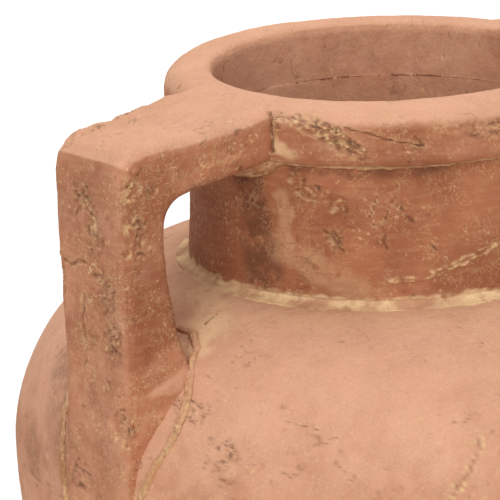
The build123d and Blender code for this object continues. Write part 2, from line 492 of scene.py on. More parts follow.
@dataclass(frozen=True)
class Crack:
    """A split in the clay, with its lips a little raised."""

    path: Sequence[Point3]
    width: float = 0.9
    depth: float = 1.2
    lip: float = 0.12
    grit: float = 0.4
    shade: float = 1.0
    ragged: float = 0.9

    def reach(self) -> float:
        """How far from its path the mark is felt."""
        return 4 * self.width + 2 * self.ragged

    def work(self, surface: Surface) -> None:
        """Open the crack in a surface."""
        path = np.array(self.path, float)
        near = surface.near(path, self.reach())
        if not len(near):
            return
        points = surface.start[near]
        away, share = along(shaken(points, 3.2, self.ragged), path)
        taper = np.clip(np.minimum(share, 1 - share) * 8 + 0.25, 0, 1)
        wide = self.width * taper * (0.85 + 0.6 * MARK_NOISE.at(points, 4.0))
        inside = np.clip(1 - away / np.maximum(wide, 0.15), 0, 1)
        lips = np.exp(-(((away - 1.4 * wide) / (0.6 * self.width)) ** 2))
        surface.push(-self.depth * taper * inside**0.8 + self.lip * lips, near)
        patchy = ramp(MARK_NOISE.layers(points, 2.6, 2), -0.25, 0.35)
        # The crack's floor is darkened with painted shade.
        surface.leave(Trace.CREVICE_SHADE, self.shade * ramp(inside, 0.1, 0.8) * (0.45 + 0.55 * patchy), near)
        surface.leave(Trace.GRIT, 0.75 * self.grit * lips * patchy * ramp(taper, 0, 0.5), near)


@dataclass(frozen=True)
class Gouge:
    """A torn groove whose floor is left crumbly."""

    path: Sequence[Point3]
    width: float = 3.0
    depth: float = 1.4
    crumb: float = 1.6
    grit: float = 1.0
    ragged: float = 1.4

    def reach(self) -> float:
        """How far from its path the mark is felt."""
        return 2.5 * self.width + 2 * self.ragged

    def work(self, surface: Surface) -> None:
        """Tear the groove in a surface."""
        path = np.array(self.path, float)
        near = surface.near(path, self.reach())
        if not len(near):
            return
        points = surface.start[near]
        away, share = along(shaken(points, 4.0, self.ragged), path)
        taper = np.clip(np.minimum(share, 1 - share) * 6 + 0.2, 0, 1)
        wide = self.width * taper * (0.9 + 0.5 * MARK_NOISE.at(points, 7.0))
        inside = ramp(1 - away / np.maximum(wide, 0.2), 0.0, 0.45)
        rough = shaken(points, 2.6, 0.9)
        split = np.maximum(
            MARK_NOISE.veins(rough, 2.2 * self.crumb, 0.16), 0.6 * MARK_NOISE.veins(rough, 1.8, 0.2)
        )
        plate = ramp(MARK_NOISE.layers(points, 3.4, 2), -0.06, 0.06)
        floor = self.depth * (0.45 + 0.55 * split + 0.4 * plate)
        edge = np.exp(-(((away - 1.25 * wide) / (0.35 * self.width)) ** 2))
        surface.push(-floor * inside + 0.16 * edge * taper, near)
        # The groove's splits are darkened with painted shade.
        surface.leave(
            Trace.CREVICE_SHADE, 0.9 * inside * split * ramp(MARK_NOISE.at(points, 5.0), -0.3, 0.2), near
        )
        sandy = ramp(MARK_NOISE.layers(points, 2.4, 2), -0.25, 0.2) * (1 - 0.7 * split)
        surface.leave(
            Trace.GRIT, self.grit * np.maximum(inside * sandy, 0.45 * edge * taper * sandy), near
        )


@dataclass(frozen=True)
class Crumble:
    """A patch where the face of the clay has flaked into crumbs."""

    middle: Point3
    spread: Point3
    depth: float = 1.0
    crumb: float = 2.6
    grit: float = 0.8

    def reach(self) -> float:
        """How far from its middle the mark is felt."""
        return 1.5 * max(self.spread)

    @property
    def path(self) -> Sequence[Point3]:
        """The patch as a place on the surface."""
        return (self.middle,)

    def work(self, surface: Surface) -> None:
        """Flake a surface."""
        middle = np.array(self.middle, float)
        near = surface.near(middle[None], self.reach())
        if not len(near):
            return
        points = surface.start[near]
        away = np.linalg.norm((points - middle) / np.array(self.spread), axis=1)
        mask = ramp(1 - away + 0.55 * MARK_NOISE.layers(points, 7.0, 3), 0.0, 0.35)
        rough = shaken(points, 2.6, 1.0)
        split = np.maximum(
            MARK_NOISE.veins(rough, 2.2 * self.crumb, 0.13), 0.5 * MARK_NOISE.veins(rough, 1.7, 0.2)
        )
        plate = ramp(MARK_NOISE.layers(points, 1.5 * self.crumb, 2), -0.05, 0.05)
        chips = ramp(MARK_NOISE.layers(points + 60.0, 2.4, 2), 0.05, 0.2)
        depth = 0.15 + 0.75 * split + 0.45 * plate + 0.3 * chips
        surface.push(-self.depth * mask * depth, near)
        patchy = ramp(MARK_NOISE.at(points, 5.0), -0.25, 0.3)
        # The splits between crumbs are darkened with painted shade.
        surface.leave(Trace.CREVICE_SHADE, 0.95 * mask * split * patchy, near)
        sandy = ramp(MARK_NOISE.layers(points + 20.0, 1.9, 3), -0.1, 0.25)
        surface.leave(Trace.GRIT, 0.6 * self.grit * mask * (1 - 0.8 * split) * sandy, near)


@dataclass(frozen=True)
class Dent:
    """A smooth dip pressed by a thumb or a tool."""

    middle: Point3
    spread: Point3
    depth: float = 1.2
    rim: float = 0.25
    grit: float = 0.5

    def reach(self) -> float:
        """How far from its middle the mark is felt."""
        return 2.0 * max(self.spread)

    @property
    def path(self) -> Sequence[Point3]:
        """The dent as a place on the surface."""
        return (self.middle,)

    def work(self, surface: Surface) -> None:
        """Press the dent into a surface."""
        middle = np.array(self.middle, float)
        near = surface.near(middle[None], self.reach())
        if not len(near):
            return
        points = surface.start[near]
        away = np.linalg.norm((shaken(points, 8.0, 0.8) - middle) / np.array(self.spread), axis=1)
        bowl = ramp(1 - away, -0.15, 0.55)
        edge = np.exp(-(((away - 1.08) / 0.16) ** 2))
        surface.push(-self.depth * bowl + self.rim * edge, near)
        patchy = ramp(MARK_NOISE.layers(points, 5.0, 2), -0.3, 0.3)
        surface.leave(Trace.GRIT, self.grit * np.exp(-(((away - 0.98) / 0.1) ** 2)) * patchy, near)


@dataclass(frozen=True)
class Smear:
    """Colour left along a path: sooty stains, painted shadow, slip or grit, with no change of shape."""

    path: Sequence[Point3]
    trace: Trace
    width: float
    strength: float = 1.0
    ragged: float = 3.0
    grain: float = 9.0

    def reach(self) -> float:
        """How far from its path the mark is felt."""
        return 1.3 * self.width + 2 * self.ragged

    def work(self, surface: Surface) -> None:
        """Colour a surface."""
        path = np.array(self.path, float)
        near = surface.near(path, self.reach())
        if not len(near):
            return
        points = surface.start[near]
        away, _ = along(shaken(points, self.grain, self.ragged), path)
        surface.leave(self.trace, self.strength * ramp(1 - away / self.width, 0.0, 0.7), near)


Mark = Crack | Gouge | Crumble | Dent | Smear


@dataclass(frozen=True)
class Skin:
    """How the whole face of a piece comes from the hands."""

    wobble: float = 0.7
    lumps: float = 0.22
    grain: float = 0.07
    pocks: float = 0.45
    brush: float = 0.05
    dust_and_light: float = 0.3
    up_dust_and_light: float = 0.9
    inner_dust: float = 0.0
    flecks: float = 0.6

    def work(self, surface: Surface) -> None:
        """Work a surface all over."""
        points = surface.start
        push = self.wobble * BODY_NOISE.layers(points, 70.0, 2)
        push += self.lumps * BODY_NOISE.layers(points, 13.0, 3)
        push += self.grain * BODY_NOISE.layers(points, 2.4, 2)
        swept = points * np.array([0.25, 0.25, 1.0])
        push += self.brush * BODY_NOISE.layers(swept, 1.6, 1)
        pitted = MARK_NOISE.layers(shaken(points, 4.0, 1.5), 3.4, 3)
        chosen = ramp(MARK_NOISE.layers(points, 24.0, 3), -0.25, 0.45)
        pock = ramp(pitted, 0.34, 0.55) * chosen
        push -= self.pocks * pock
        scratch = MARK_NOISE.veins(shaken(points, 6.0, 2.0), 17.0, 0.022)
        scratch *= ramp(MARK_NOISE.layers(points + 90.0, 21.0, 2), 0.12, 0.3)
        push -= 0.6 * self.pocks * scratch
        surface.push(push)
        # Pits and scratches are darkened with painted shade.
        surface.leave(Trace.CREVICE_SHADE, np.maximum(0.7 * pock, 0.5 * scratch))
        fleck = ramp(BODY_NOISE.layers(shaken(points, 3.0, 1.0), 2.8, 2), 0.42, 0.62)
        surface.leave(Trace.GRIT, self.flecks * fleck * ramp(chosen, 0.0, 0.6))
        outward = (points[:, :2] * surface.normals[:, :2]).sum(axis=1)
        outward /= np.maximum(np.linalg.norm(points[:, :2], axis=1), 1.0)
        facing_in = ramp(-outward, 0.55, 0.97)
        # Faces that look up get more of the pale colour: settled dusting and painted light from above.
        up = ramp(surface.normals[:, 2], 0.05, 0.75)
        dust_and_light = self.dust_and_light + self.up_dust_and_light * up * (1 - facing_in)
        dust_and_light = dust_and_light * (1 - facing_in) + self.inner_dust * facing_in
        dust_and_light = dust_and_light + 0.22 * BODY_NOISE.layers(points, 30.0, 3)
        surface.leave(Trace.DUST_AND_LIGHT, dust_and_light)


def refine(piece: bpy.types.Object, marks: Sequence[Mark], cuts: int) -> None:
    """Divide the mesh closely where marks will be made.

    Args:
        piece: A piece in object mode, in millimetres.
        marks: The marks; smears need no closer mesh.
        cuts: Cuts across each face.
    """
    mesh = piece.data
    middles = np.empty(len(mesh.polygons) * 3)
    mesh.polygons.foreach_get("center", middles)
    middles = middles.reshape(-1, 3)
    chosen = np.zeros(len(middles), bool)
    for mark in marks:
        if isinstance(mark, Smear):
            continue
        path = np.array(mark.path, float)
        if len(path) == 1:
            path = np.repeat(path, 2, axis=0)
        away, _ = along(middles, path)
        chosen |= away < mark.reach() * 0.8
    if not chosen.any():
        return
    wake(piece)
    mesh.polygons.foreach_set("select", chosen)
    bpy.ops.object.mode_set(mode="EDIT")
    bpy.ops.mesh.select_mode(type="FACE")
    bpy.ops.object.mode_set(mode="OBJECT")
    mesh.polygons.foreach_set("select", chosen)
    bpy.ops.object.mode_set(mode="EDIT")
    bpy.ops.mesh.subdivide(number_cuts=cuts, quadcorner="INNERVERT")
    bpy.ops.mesh.select_mode(type="VERT")
    bpy.ops.object.mode_set(mode="OBJECT")


# ------------------------------------------------------------------ clay finishes
Colour = tuple[float, float, float]


@dataclass(frozen=True)
class ClayFinish:
    """Fired clay: its body, the pale dusting and painted light on it, the grit in it and the painted
    shade of its cracks and pits.
    """

    name: str
    body: Colour = (0.440, 0.165, 0.080)
    deep: Colour = (0.300, 0.100, 0.046)
    # Pale dusting colour, also used as painted light on upward and outward faces.
    dust_and_light: Colour = (0.700, 0.375, 0.240)
    sand: Colour = (0.760, 0.500, 0.250)
    slip: Colour = (0.860, 0.600, 0.330)
    # Painted shade colour for cracks, pits and splits.
    crevice_shadow_colour: Colour = (0.085, 0.034, 0.018)
    # Sooty stain colour, also used as painted shadow under the rim and on the near strap.
    soot_and_shadow: Colour = (0.120, 0.046, 0.022)
    speck: float = 0.5
    grain: float = 0.55
    sweep: float = 0.10

    def build(self) -> bpy.types.Material:
        """Make the material.

        Returns:
            A node material that reads Object coordinates and the traces of a piece.
        """
        clay = Nodes(self.name)
        broad = clay.noise(48.0, 3, 0.55)
        fine = clay.noise(7.0, 4, 0.6)
        sandy = clay.noise(1.1, 3, 0.65)
        colour = clay.blend(clay.between(broad, 0.38, 0.62), self.body, self.deep)
        streak = clay.noise(2.2, 2, 0.5, stretch=(0.16, 0.16, 1.0))
        colour = clay.blend(
            clay.times(clay.between(streak, 0.45, 0.7), self.sweep), colour, self.sand
        )
        # Pale dusting mixed with painted light on faces that look up or out.
        dust_and_light_share = clay.add(clay.trace(Trace.DUST_AND_LIGHT), clay.shift(fine, -0.5, 0.55))
        dust_and_light_share = clay.between(dust_and_light_share, 0.12, 0.98)
        colour = clay.blend(dust_and_light_share, colour, self.dust_and_light)
        shade = clay.between(clay.noise(20.0, 3, 0.6), 0.30, 0.72)
        colour = clay.blend(clay.times(shade, 0.16), colour, self.deep)
        slip = clay.times(clay.trace(Trace.SLIP), clay.between(fine, 0.28, 0.52))
        colour = clay.blend(clay.times(slip, 0.95), colour, self.slip)
        # Sooty stains, and painted shadow under the rim and along the near strap's inner edges.
        soot_and_shadow = clay.times(clay.trace(Trace.SOOT_AND_SHADOW), clay.between(fine, 0.25, 0.6))
        colour = clay.blend(clay.times(soot_and_shadow, 0.85), colour, self.soot_and_shadow)
        patches = clay.between(clay.noise(11.0, 2, 0.5), 0.42, 0.60)
        thread = clay.noise(3.4, 3, 0.65)
        pale = clay.times(clay.between(thread, 0.470, 0.500), clay.between(thread, 0.530, 0.505))
        pale = clay.times(pale, clay.between(clay.noise(16.0, 2, 0.5), 0.40, 0.58))
        colour = clay.blend(clay.times(pale, 0.7 * self.speck), colour, self.sand)
        speck = clay.times(clay.between(clay.noise(2.0, 2, 0.6), 0.60, 0.72), patches)
        colour = clay.blend(clay.times(speck, self.speck), colour, self.sand)
        pepper = clay.times(clay.between(clay.noise(1.5, 2, 0.6), 0.36, 0.27), patches)
        colour = clay.blend(clay.times(pepper, 0.6 * self.speck), colour, self.deep)
        mottle = clay.between(sandy, 0.32, 0.68)
        colour = clay.blend(clay.times(mottle, 0.13), colour, self.deep)
        grit = clay.times(clay.trace(Trace.GRIT), clay.between(sandy, 0.30, 0.50))
        colour = clay.blend(grit, colour, self.sand)
        # Painted shade darkens cracks, pits and splits.
        crevice_shade = clay.times(clay.trace(Trace.CREVICE_SHADE), clay.between(sandy, 0.25, 0.45))
        colour = clay.blend(clay.times(crevice_shade, 0.8), colour, self.crevice_shadow_colour)
        rough = clay.noise(3.0, 3, 0.65)
        layers = ((sandy, 0.45), (rough, 0.75), (fine, 0.5), (streak, 0.12), (pale, -0.15))
        height = clay.relief(layers)
        clay.surface(colour, height, self.grain)
        return clay.material


class Nodes:
    """Small helper that writes a node material in plain steps."""

    def __init__(self, name: str) -> None:
        """Start a material with its shader.

        Args:
            name: Name of the material.
        """
        self.material = bpy.data.materials.new(name)
        self.material.use_nodes = True
        self.tree = self.material.node_tree
        self.shader = next(n for n in self.tree.nodes if n.type == "BSDF_PRINCIPLED")
        self.place = self.tree.nodes.new("ShaderNodeTexCoord").outputs["Object"]

    def join(self, source: object, socket: bpy.types.NodeSocket) -> None:
        """Feed a socket from another socket, a colour or a number."""
        if isinstance(source, bpy.types.NodeSocket):
            self.tree.links.new(source, socket)
        elif isinstance(source, tuple):
            socket.default_value = (*source, 1.0)
        else:
            socket.default_value = source

    def noise(self, size: float, detail: int, rough: float, stretch: Point3 = (1, 1, 1)) -> object:
        """Noise whose lumps are so many millimetres, stretched where stretch is under 1."""
        mapping = self.tree.nodes.new("ShaderNodeMapping")
        mapping.inputs["Scale"].default_value = stretch
        self.join(self.place, mapping.inputs["Vector"])
        node = self.tree.nodes.new("ShaderNodeTexNoise")
        node.inputs["Scale"].default_value = 1000.0 / size
        node.inputs["Detail"].default_value = detail
        node.inputs["Roughness"].default_value = rough
        self.join(mapping.outputs["Vector"], node.inputs["Vector"])
        return node.outputs["Fac"]

    def trace(self, trace: Trace) -> object:
        """The trace that hand work left on the piece."""
        node = self.tree.nodes.new("ShaderNodeAttribute")
        node.attribute_name = trace.value
        return node.outputs["Fac"]

    def between(self, value: object, low: float, high: float) -> object:
        """Smooth step of a value from 0 at low to 1 at high."""
        node = self.tree.nodes.new("ShaderNodeMapRange")
        node.interpolation_type = "SMOOTHSTEP"
        node.inputs["From Min"].default_value = min(low, high)
        node.inputs["From Max"].default_value = max(low, high)
        node.inputs["To Min"].default_value = 0.0 if low < high else 1.0
        node.inputs["To Max"].default_value = 1.0 if low < high else 0.0
        self.join(value, node.inputs["Value"])
        return node.outputs["Result"]

    def maths(self, kind: str, *values: object) -> object:
        """One sum on one to three values."""
        node = self.tree.nodes.new("ShaderNodeMath")
        node.operation = kind
        for socket, value in zip(node.inputs, values):
            self.join(value, socket)
        return node.outputs["Value"]

    def times(self, one: object, other: object) -> object:
        """Product of two values."""
        return self.maths("MULTIPLY", one, other)

    def add(self, one: object, other: object) -> object:
        """Sum of two values."""
        return self.maths("ADD", one, other)

    def shift(self, value: object, offset: float, factor: float) -> object:
        """A value moved by an offset, then scaled."""
        return self.times(self.add(value, offset), factor)

    def blend(self, share: object, one: object, other: object) -> object:
        """Colour that turns from one to the other as share goes from 0 to 1."""
        node = self.tree.nodes.new("ShaderNodeMix")
        node.data_type = "RGBA"
        self.join(share, node.inputs["Factor"])
        self.join(one, node.inputs["A"])
        self.join(other, node.inputs["B"])
        return node.outputs["Result"]

    def relief(self, layers: Sequence[tuple[object, float]]) -> object:
        """Height made of layers of noise, each with its height in millimetres."""
        total: object = 0.0
        for value, height in layers:
            total = self.add(total, self.times(value, height))
        return total

    def surface(self, colour: object, height: object, strength: float) -> None:
        """Finish the material with colour, roughness and relief."""
        self.join(colour, self.shader.inputs["Base Color"])
        rough = self.between(self.noise(4.0, 2, 0.5), 0.2, 0.8)
        self.join(self.add(self.times(rough, 0.1), 0.84), self.shader.inputs["Roughness"])
        self.shader.inputs["Specular IOR Level"].default_value = 0.18
        bump = self.tree.nodes.new("ShaderNodeBump")
        bump.inputs["Strength"].default_value = strength
        bump.inputs["Distance"].default_value = MM
        self.join(height, bump.inputs["Height"])
        self.join(bump.outputs["Normal"], self.shader.inputs["Normal"])


FINISHES = {
    Slot.VESSEL: ClayFinish("fired_body_clay"),
    Slot.HANDLE: ClayFinish("fired_strap_clay", speck=0.65, grain=0.8),
    Slot.SLIP: ClayFinish("dried_slip", body=(0.500, 0.250, 0.120), deep=(0.330, 0.140, 0.060)),
    Slot.COIL: ClayFinish("inner_coil_clay", body=(0.330, 0.120, 0.060), speck=0.3),
}


# ------------------------------------------------------------------ the vessel
def corners(node: str) -> tuple[Vector, Vector]:
    """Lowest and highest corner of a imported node, in millimetres."""
    low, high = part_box(node)
    return Vector(low) / MM, Vector(high) / MM


@dataclass
class Vessel:
    """Foot, bowls, neck and rim, turned about the axis."""

    body_wall: float = 11.0
    neck_wall: float = 11.5
    neck_flare: float = 2.5
    rim_overhang: float = 10.0
    lip_radius: float = 5.0
    crown_radius: float = 9.0
    roll_radius: float = 6.5
    foot_edge: float = 5.0
    recess: float = 2.0
    stand_width: float = 20.0
    stand_gap: float = 0.4
    pole_gap: float = 0.5
    belly_fullness: float = 88.0
    foot_fullness: float = 62.0
    foot_spread: float = 36.0
    lap: float = 0.6
    crown_shade: float = 2.0

    def __post_init__(self) -> None:
        """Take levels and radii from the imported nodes."""
        self.foot_radius = corners("base_slab")[1].x
        self.base_top = corners("lower_bowl")[0].z
        self.belly_z = corners("upper_bowl")[0].z
        self.belly_radius = corners("upper_bowl")[1].x
        self.shoulder_z = corners("neck_collar")[0].z
        self.neck_foot = corners("neck_collar")[1].x
        self.neck_radius = self.neck_foot - self.neck_flare
        self.bore = self.neck_radius - self.neck_wall
        self.neck_top = corners("rim_roll")[0].z
        self.top = corners("rim_roll")[1].z
        self.rim_radius = self.neck_radius + self.rim_overhang
        self.datum = self.top - self.crown_shade
        self.reach = self.belly_radius - self.neck_foot
        self.rise = self.shoulder_z - self.belly_z

    def radius_at(self, height: float) -> float:
        """Outer radius of the bowls and neck at a height."""
        if height >= self.shoulder_z:
            return self.neck_radius
        if height >= self.belly_z:
            share = (height - self.belly_z) / self.rise
            return self.neck_foot + self.reach * math.sqrt(max(0.0, 1 - share * share))
        outline = self.bowl_outline(0.0, 2.0)
        heights = [z for _, z in reversed(outline)]
        radii = [r for r, _ in reversed(outline)]
        return float(np.interp(height, heights, radii))

    def bowl_outline(self, inset: float, step: float) -> list[Point2]:
        """Lower bowl from the widest ring down to the base."""
        controls = (
            (self.belly_radius - inset, self.belly_z),
            (self.belly_radius - inset, self.belly_z - self.belly_fullness),
            (self.foot_radius + self.foot_spread - inset, self.base_top + self.foot_fullness),
            (self.foot_radius - inset, self.base_top),
        )
        return curve(controls, step)

    def on_neck(self, *places: Point2) -> list[Point3]:
        """Places on the neck, from azimuth in degrees and drop below the rim's shoulder line."""
        return [on_ring(a, self.datum - drop, self.neck_radius + 0.4) for a, drop in places]

    def on_rim(self, *places: Point2) -> list[Point3]:
        """Places on the rim, from azimuth in degrees and drop below its shoulder line."""
        found = []
        for azimuth, drop in places:
            crown = self.crown_radius
            rise = max(0.0, crown - drop - self.crown_shade)
            back = crown - math.sqrt(crown * crown - rise**2)
            found.append(on_ring(azimuth, self.datum - drop, self.rim_radius - back))
        return found

    def on_bowl(self, *places: Point2) -> list[Point3]:
        """Places on the bowls, from azimuth in degrees and height above the widest ring."""
        return [
            on_ring(a, self.belly_z + h, self.radius_at(self.belly_z + h)) for a, h in places
        ]

    def work(self, piece: bpy.types.Object, skin: Skin, marks: Sequence[Mark], cuts: int) -> None:
        """Work a turned piece all over, then mark it.

        Args:
            piece: The turned piece.
            skin: How its whole face comes out.
            marks: Marks made on it.
            cuts: Cuts that divide the mesh under the marks; none leaves it as it is.
        """
        if cuts:
            refine(piece, marks, cuts)
        surface = Surface(piece)
        skin.work(surface)
        for mark in marks:
            mark.work(surface)
        surface.finish()

    def slab(self) -> bpy.types.Object:
        """Turn the base slab with its shallow recess."""
        out, edge, low, pole = self.foot_radius, self.foot_edge, self.stand_gap, self.pole_gap
        inner = out - self.stand_width
        seam = self.base_top + 0.5
        outline = joined(
            straight((pole, self.recess), (inner - self.recess, self.recess), 4.0),
            straight((inner - self.recess, self.recess), (inner, low), 1.5),
            straight((inner, low), (out - edge, low), 3.0),
            arc((out - edge, edge + low), (edge, edge), -90, 0, 1.5),
            straight((out, edge + low), (out, seam), 2.0),
            straight((out, seam), (out - self.body_wall, seam), 3.0),
            straight((out - self.body_wall, self.base_top), (pole, self.base_top), 4.0),
        )
        piece = turn_outline("foot_slab", outline, 2.0, 2.4)
        close_poles(piece)
        skin = Skin(wobble=0.2, lumps=0.12, dust_and_light=0.5, inner_dust=0.0)
        self.work(piece, skin, (), 0)
        settle(piece)
        return piece

    def lower_bowl(self) -> bpy.types.Object:
        """Turn the lower bowl."""
        outer = self.bowl_outline(0.0, 2.2)
        inner = self.bowl_outline(self.body_wall, 6.0)
        outline = joined(outer, straight(outer[-1], inner[-1], 4.0), inner[::-1])
        outline = joined(outline, straight(outline[-1], outline[0], 4.0))
        piece = turn_outline("lower_bowl_wall", outline, 2.2, 3.2)
        marks = (
            Smear(self.on_bowl((-175, -60), (-168, 10)), Trace.SOOT_AND_SHADOW, 26, 0.5),
            Crack(self.on_bowl((-60, -20), (-52, -45), (-57, -70)), 1.1, 1.1),
            Crack(self.on_bowl((60, -10), (72, -40)), 1.1, 1.1),
            Dent(on_ring(-140, self.belly_z - 90, self.radius_at(self.belly_z - 90)), (9, 9, 12)),
            Dent(on_ring(40, self.belly_z - 60, self.radius_at(self.belly_z - 60)), (10, 10, 7)),
        )
        self.work(piece, BODY_SKIN, marks, 1)
        return piece

    def upper_bowl(self) -> bpy.types.Object:
        """Turn the upper bowl with its shoulder."""
        middle = (self.neck_foot, self.belly_z)
        wall = self.body_wall
        outer = arc(middle, (self.reach, self.rise), 0, 90, 1.25)
        inner = arc(middle, (self.reach - wall, self.rise - wall), 90, 0, 5.0)
        land = (self.bore + self.lap, self.shoulder_z - self.lap)
        outline = joined(
            outer,
            straight(outer[-1], land, 4.0),
            straight(land, (land[0], self.shoulder_z - wall), 4.0),
            straight((land[0], self.shoulder_z - wall), inner[0], 4.0),
            inner,
            straight(inner[-1], outer[0], 4.0),
        )
        piece = turn_outline("upper_bowl_wall", outline, 1.25, 3.2)
        foot = self.shoulder_z - 0.3
        ring = [on_ring(a, foot, self.neck_foot + 2) for a in range(0, 361, 6)]
        marks = (
            Smear(ring, Trace.SLIP, 4.5, 0.9, 2.5, 7.0),
            Smear([on_ring(a, foot, self.neck_foot + 14) for a in range(-250, -90, 8)],
                  Trace.SLIP, 14, 0.20, 9.0, 16.0),
            Smear((on_ring(-186, foot, self.neck_foot + 8), on_ring(-172, foot - 6, 112),
                   on_ring(-171, foot - 13, 126)), Trace.SLIP, 15, 0.62, 7.0, 12.0),
            Smear(self.on_bowl((160, 50), (172, 20), (178, -10)), Trace.SOOT_AND_SHADOW, 17, 0.5, 8.0, 18.0),
            Smear(self.on_bowl((158, 12), (165, -12)), Trace.SOOT_AND_SHADOW, 12, 0.5, 8.0, 18.0),
            Crack(self.on_bowl((-174.5, 78), (-173.4, 76), (-173.7, 72), (-174.6, 67)),
                  0.6, 0.4, grit=0.9),
            Crack(self.on_bowl((-149.6, 50), (-146.5, 49), (-142.7, 47.5)), 0.6, 0.4, grit=0.2),
            Crack(self.on_bowl((-119.2, 46), (-119.9, 39), (-121.4, 32), (-123.8, 25.5),
                               (-124.8, 22)), 1.2, 1.0, 0.4, 1.2, 0.45),
            Dent(self.on_bowl((-125.5, 40))[0], (1.6, 1.6, 1.4), 0.7, 0.1, 0.0),
            Crumble(self.on_bowl((-166.0, 50))[0], (7, 13, 10), 0.25, 1.8, 0.3),
            Crumble(self.on_bowl((-158.0, 34))[0], (7, 11, 12), 0.2, 1.6, 0.25),
            Crack(self.on_bowl((-90, 60), (-80, 52), (-76, 40)), 1.0, 0.9),
            Crack(self.on_bowl((20, 66), (34, 58), (38, 44)), 1.2, 1.0, grit=0.9),
            Crumble(self.on_bowl((70.0, 52))[0], (12, 9, 9), 0.6, 2.2, 0.8),
            Crack(self.on_bowl((110, 30), (118, 40), (131, 38)), 1.1, 0.9),
        )
        self.work(piece, BODY_SKIN, marks, 1)
        return piece

    def neck(self) -> bpy.types.Object:
        """Turn the neck collar."""
        height = self.neck_top - self.shoulder_z
        controls = (
            (self.neck_foot, self.shoulder_z - self.lap),
            (self.neck_radius, self.shoulder_z + height / 4),
            (self.neck_radius, self.neck_top + self.lap),
        )
        outer = curve(controls, 0.75)
        inner = straight(
            (self.bore, self.neck_top + self.lap), (self.bore, self.shoulder_z - self.lap), 3.0
        )
        outline = joined(
            outer, straight(outer[-1], inner[0], 4.0), inner, straight(inner[-1], outer[0], 4.0)
        )
        piece = turn_outline("neck_wall", outline, 0.75, 1.7)
        spot = self.on_neck
        foot = [on_ring(a, self.shoulder_z + 2.0, self.neck_foot) for a in range(0, 361, 6)]
        marks = (
            Smear(foot, Trace.SLIP, 2.6, 0.7, 2.0, 6.0),
            Smear(spot((-176, 30), (-172, 50), (-170, 74)), Trace.SOOT_AND_SHADOW, 13, 0.95, 6.0, 12.0),
            # Painted shadow under the rim overhang, a band on the neck in the sooty colour.
            Smear(spot((-160, 24), (-140, 25), (-120, 25), (-60, 25)), Trace.SOOT_AND_SHADOW, 5.0, 0.8, 2.0,
                  6.0),
            Smear(spot((-165, 60), (-150, 70), (-138, 78)), Trace.SLIP, 10, 0.22, 7.0, 9.0),
            Smear(spot((-163, 38), (-161, 60)), Trace.SLIP, 5, 0.25, 5.0, 7.0),
            Crumble(spot((-154, 36))[0], (8.5, 8.5, 5.5), 1.5, 3.0, 1.0),
            Crumble(spot((-147, 40))[0], (6.5, 6.5, 4.0), 1.3, 2.6, 1.0),
            Crumble(spot((-158, 30))[0], (6.0, 6.0, 3.5), 1.1, 2.2, 0.9),
            Crumble(spot((-147.3, 55.5))[0], (3.6, 3.6, 5.0), 1.4, 2.2, 0.9),
            Crack(spot((-151, 50.5), (-148.5, 53), (-146.5, 58), (-144.5, 60)), 0.9, 1.2),
            Crumble(spot((-131.0, 38.0))[0], (6.0, 6.0, 4.0), 0.5, 1.8, 0.5),
            Crack(spot((-135, 34), (-136, 40), (-137.5, 46), (-135.5, 49)), 0.6, 0.7, grit=0.7),
            Crack(spot((-136, 48), (-133.3, 47), (-131.8, 40), (-130, 36), (-129.4, 30)), 0.7, 0.9),
            Crack(spot((-133.6, 47.5), (-133.4, 54.5), (-132.6, 59)), 0.9, 1.3, grit=0.3),
            Crack(spot((-129, 40), (-127.0, 44.5), (-125, 47.5)), 1.0, 1.3, grit=0.3),
            Crack(spot((-120.3, 57), (-118.7, 60)), 0.8, 1.1, grit=0.3),
            Crack(spot((-134, 73.5), (-129.5, 71), (-124, 71.4), (-118.5, 69), (-112.5, 66),
                       (-106, 63), (-99, 60)), 0.8, 0.15, 0.8, 1.3, 0.12),
            Crack(spot((-131, 80), (-126, 78), (-121, 78.5)), 0.7, 0.1, 0.6, 1.3, 0.1),
            Dent(spot((-171, 41))[0], (3.2, 3.2, 3.6), 1.3, 0.3, 0.4),
            Crack(spot((-176, 46), (-173.5, 42), (-172, 37)), 0.9, 1.2),
            Crumble(spot((-60, 50))[0], (9, 9, 8), 0.9, 2.4, 0.8),
            Crack(spot((60, 30), (68, 44), (66, 60), (74, 72)), 1.1, 1.1),
            Crumble(spot((110, 42))[0], (10, 10, 9), 1.0, 2.6, 0.8),
            Crack(spot((140, 34), (149, 40), (153, 52)), 1.0, 1.0),
        )
        skin = Skin(dust_and_light=0.16, up_dust_and_light=0.5, lumps=0.25, pocks=0.6, inner_dust=0.7)
        self.work(piece, skin, marks, 1)
        return piece

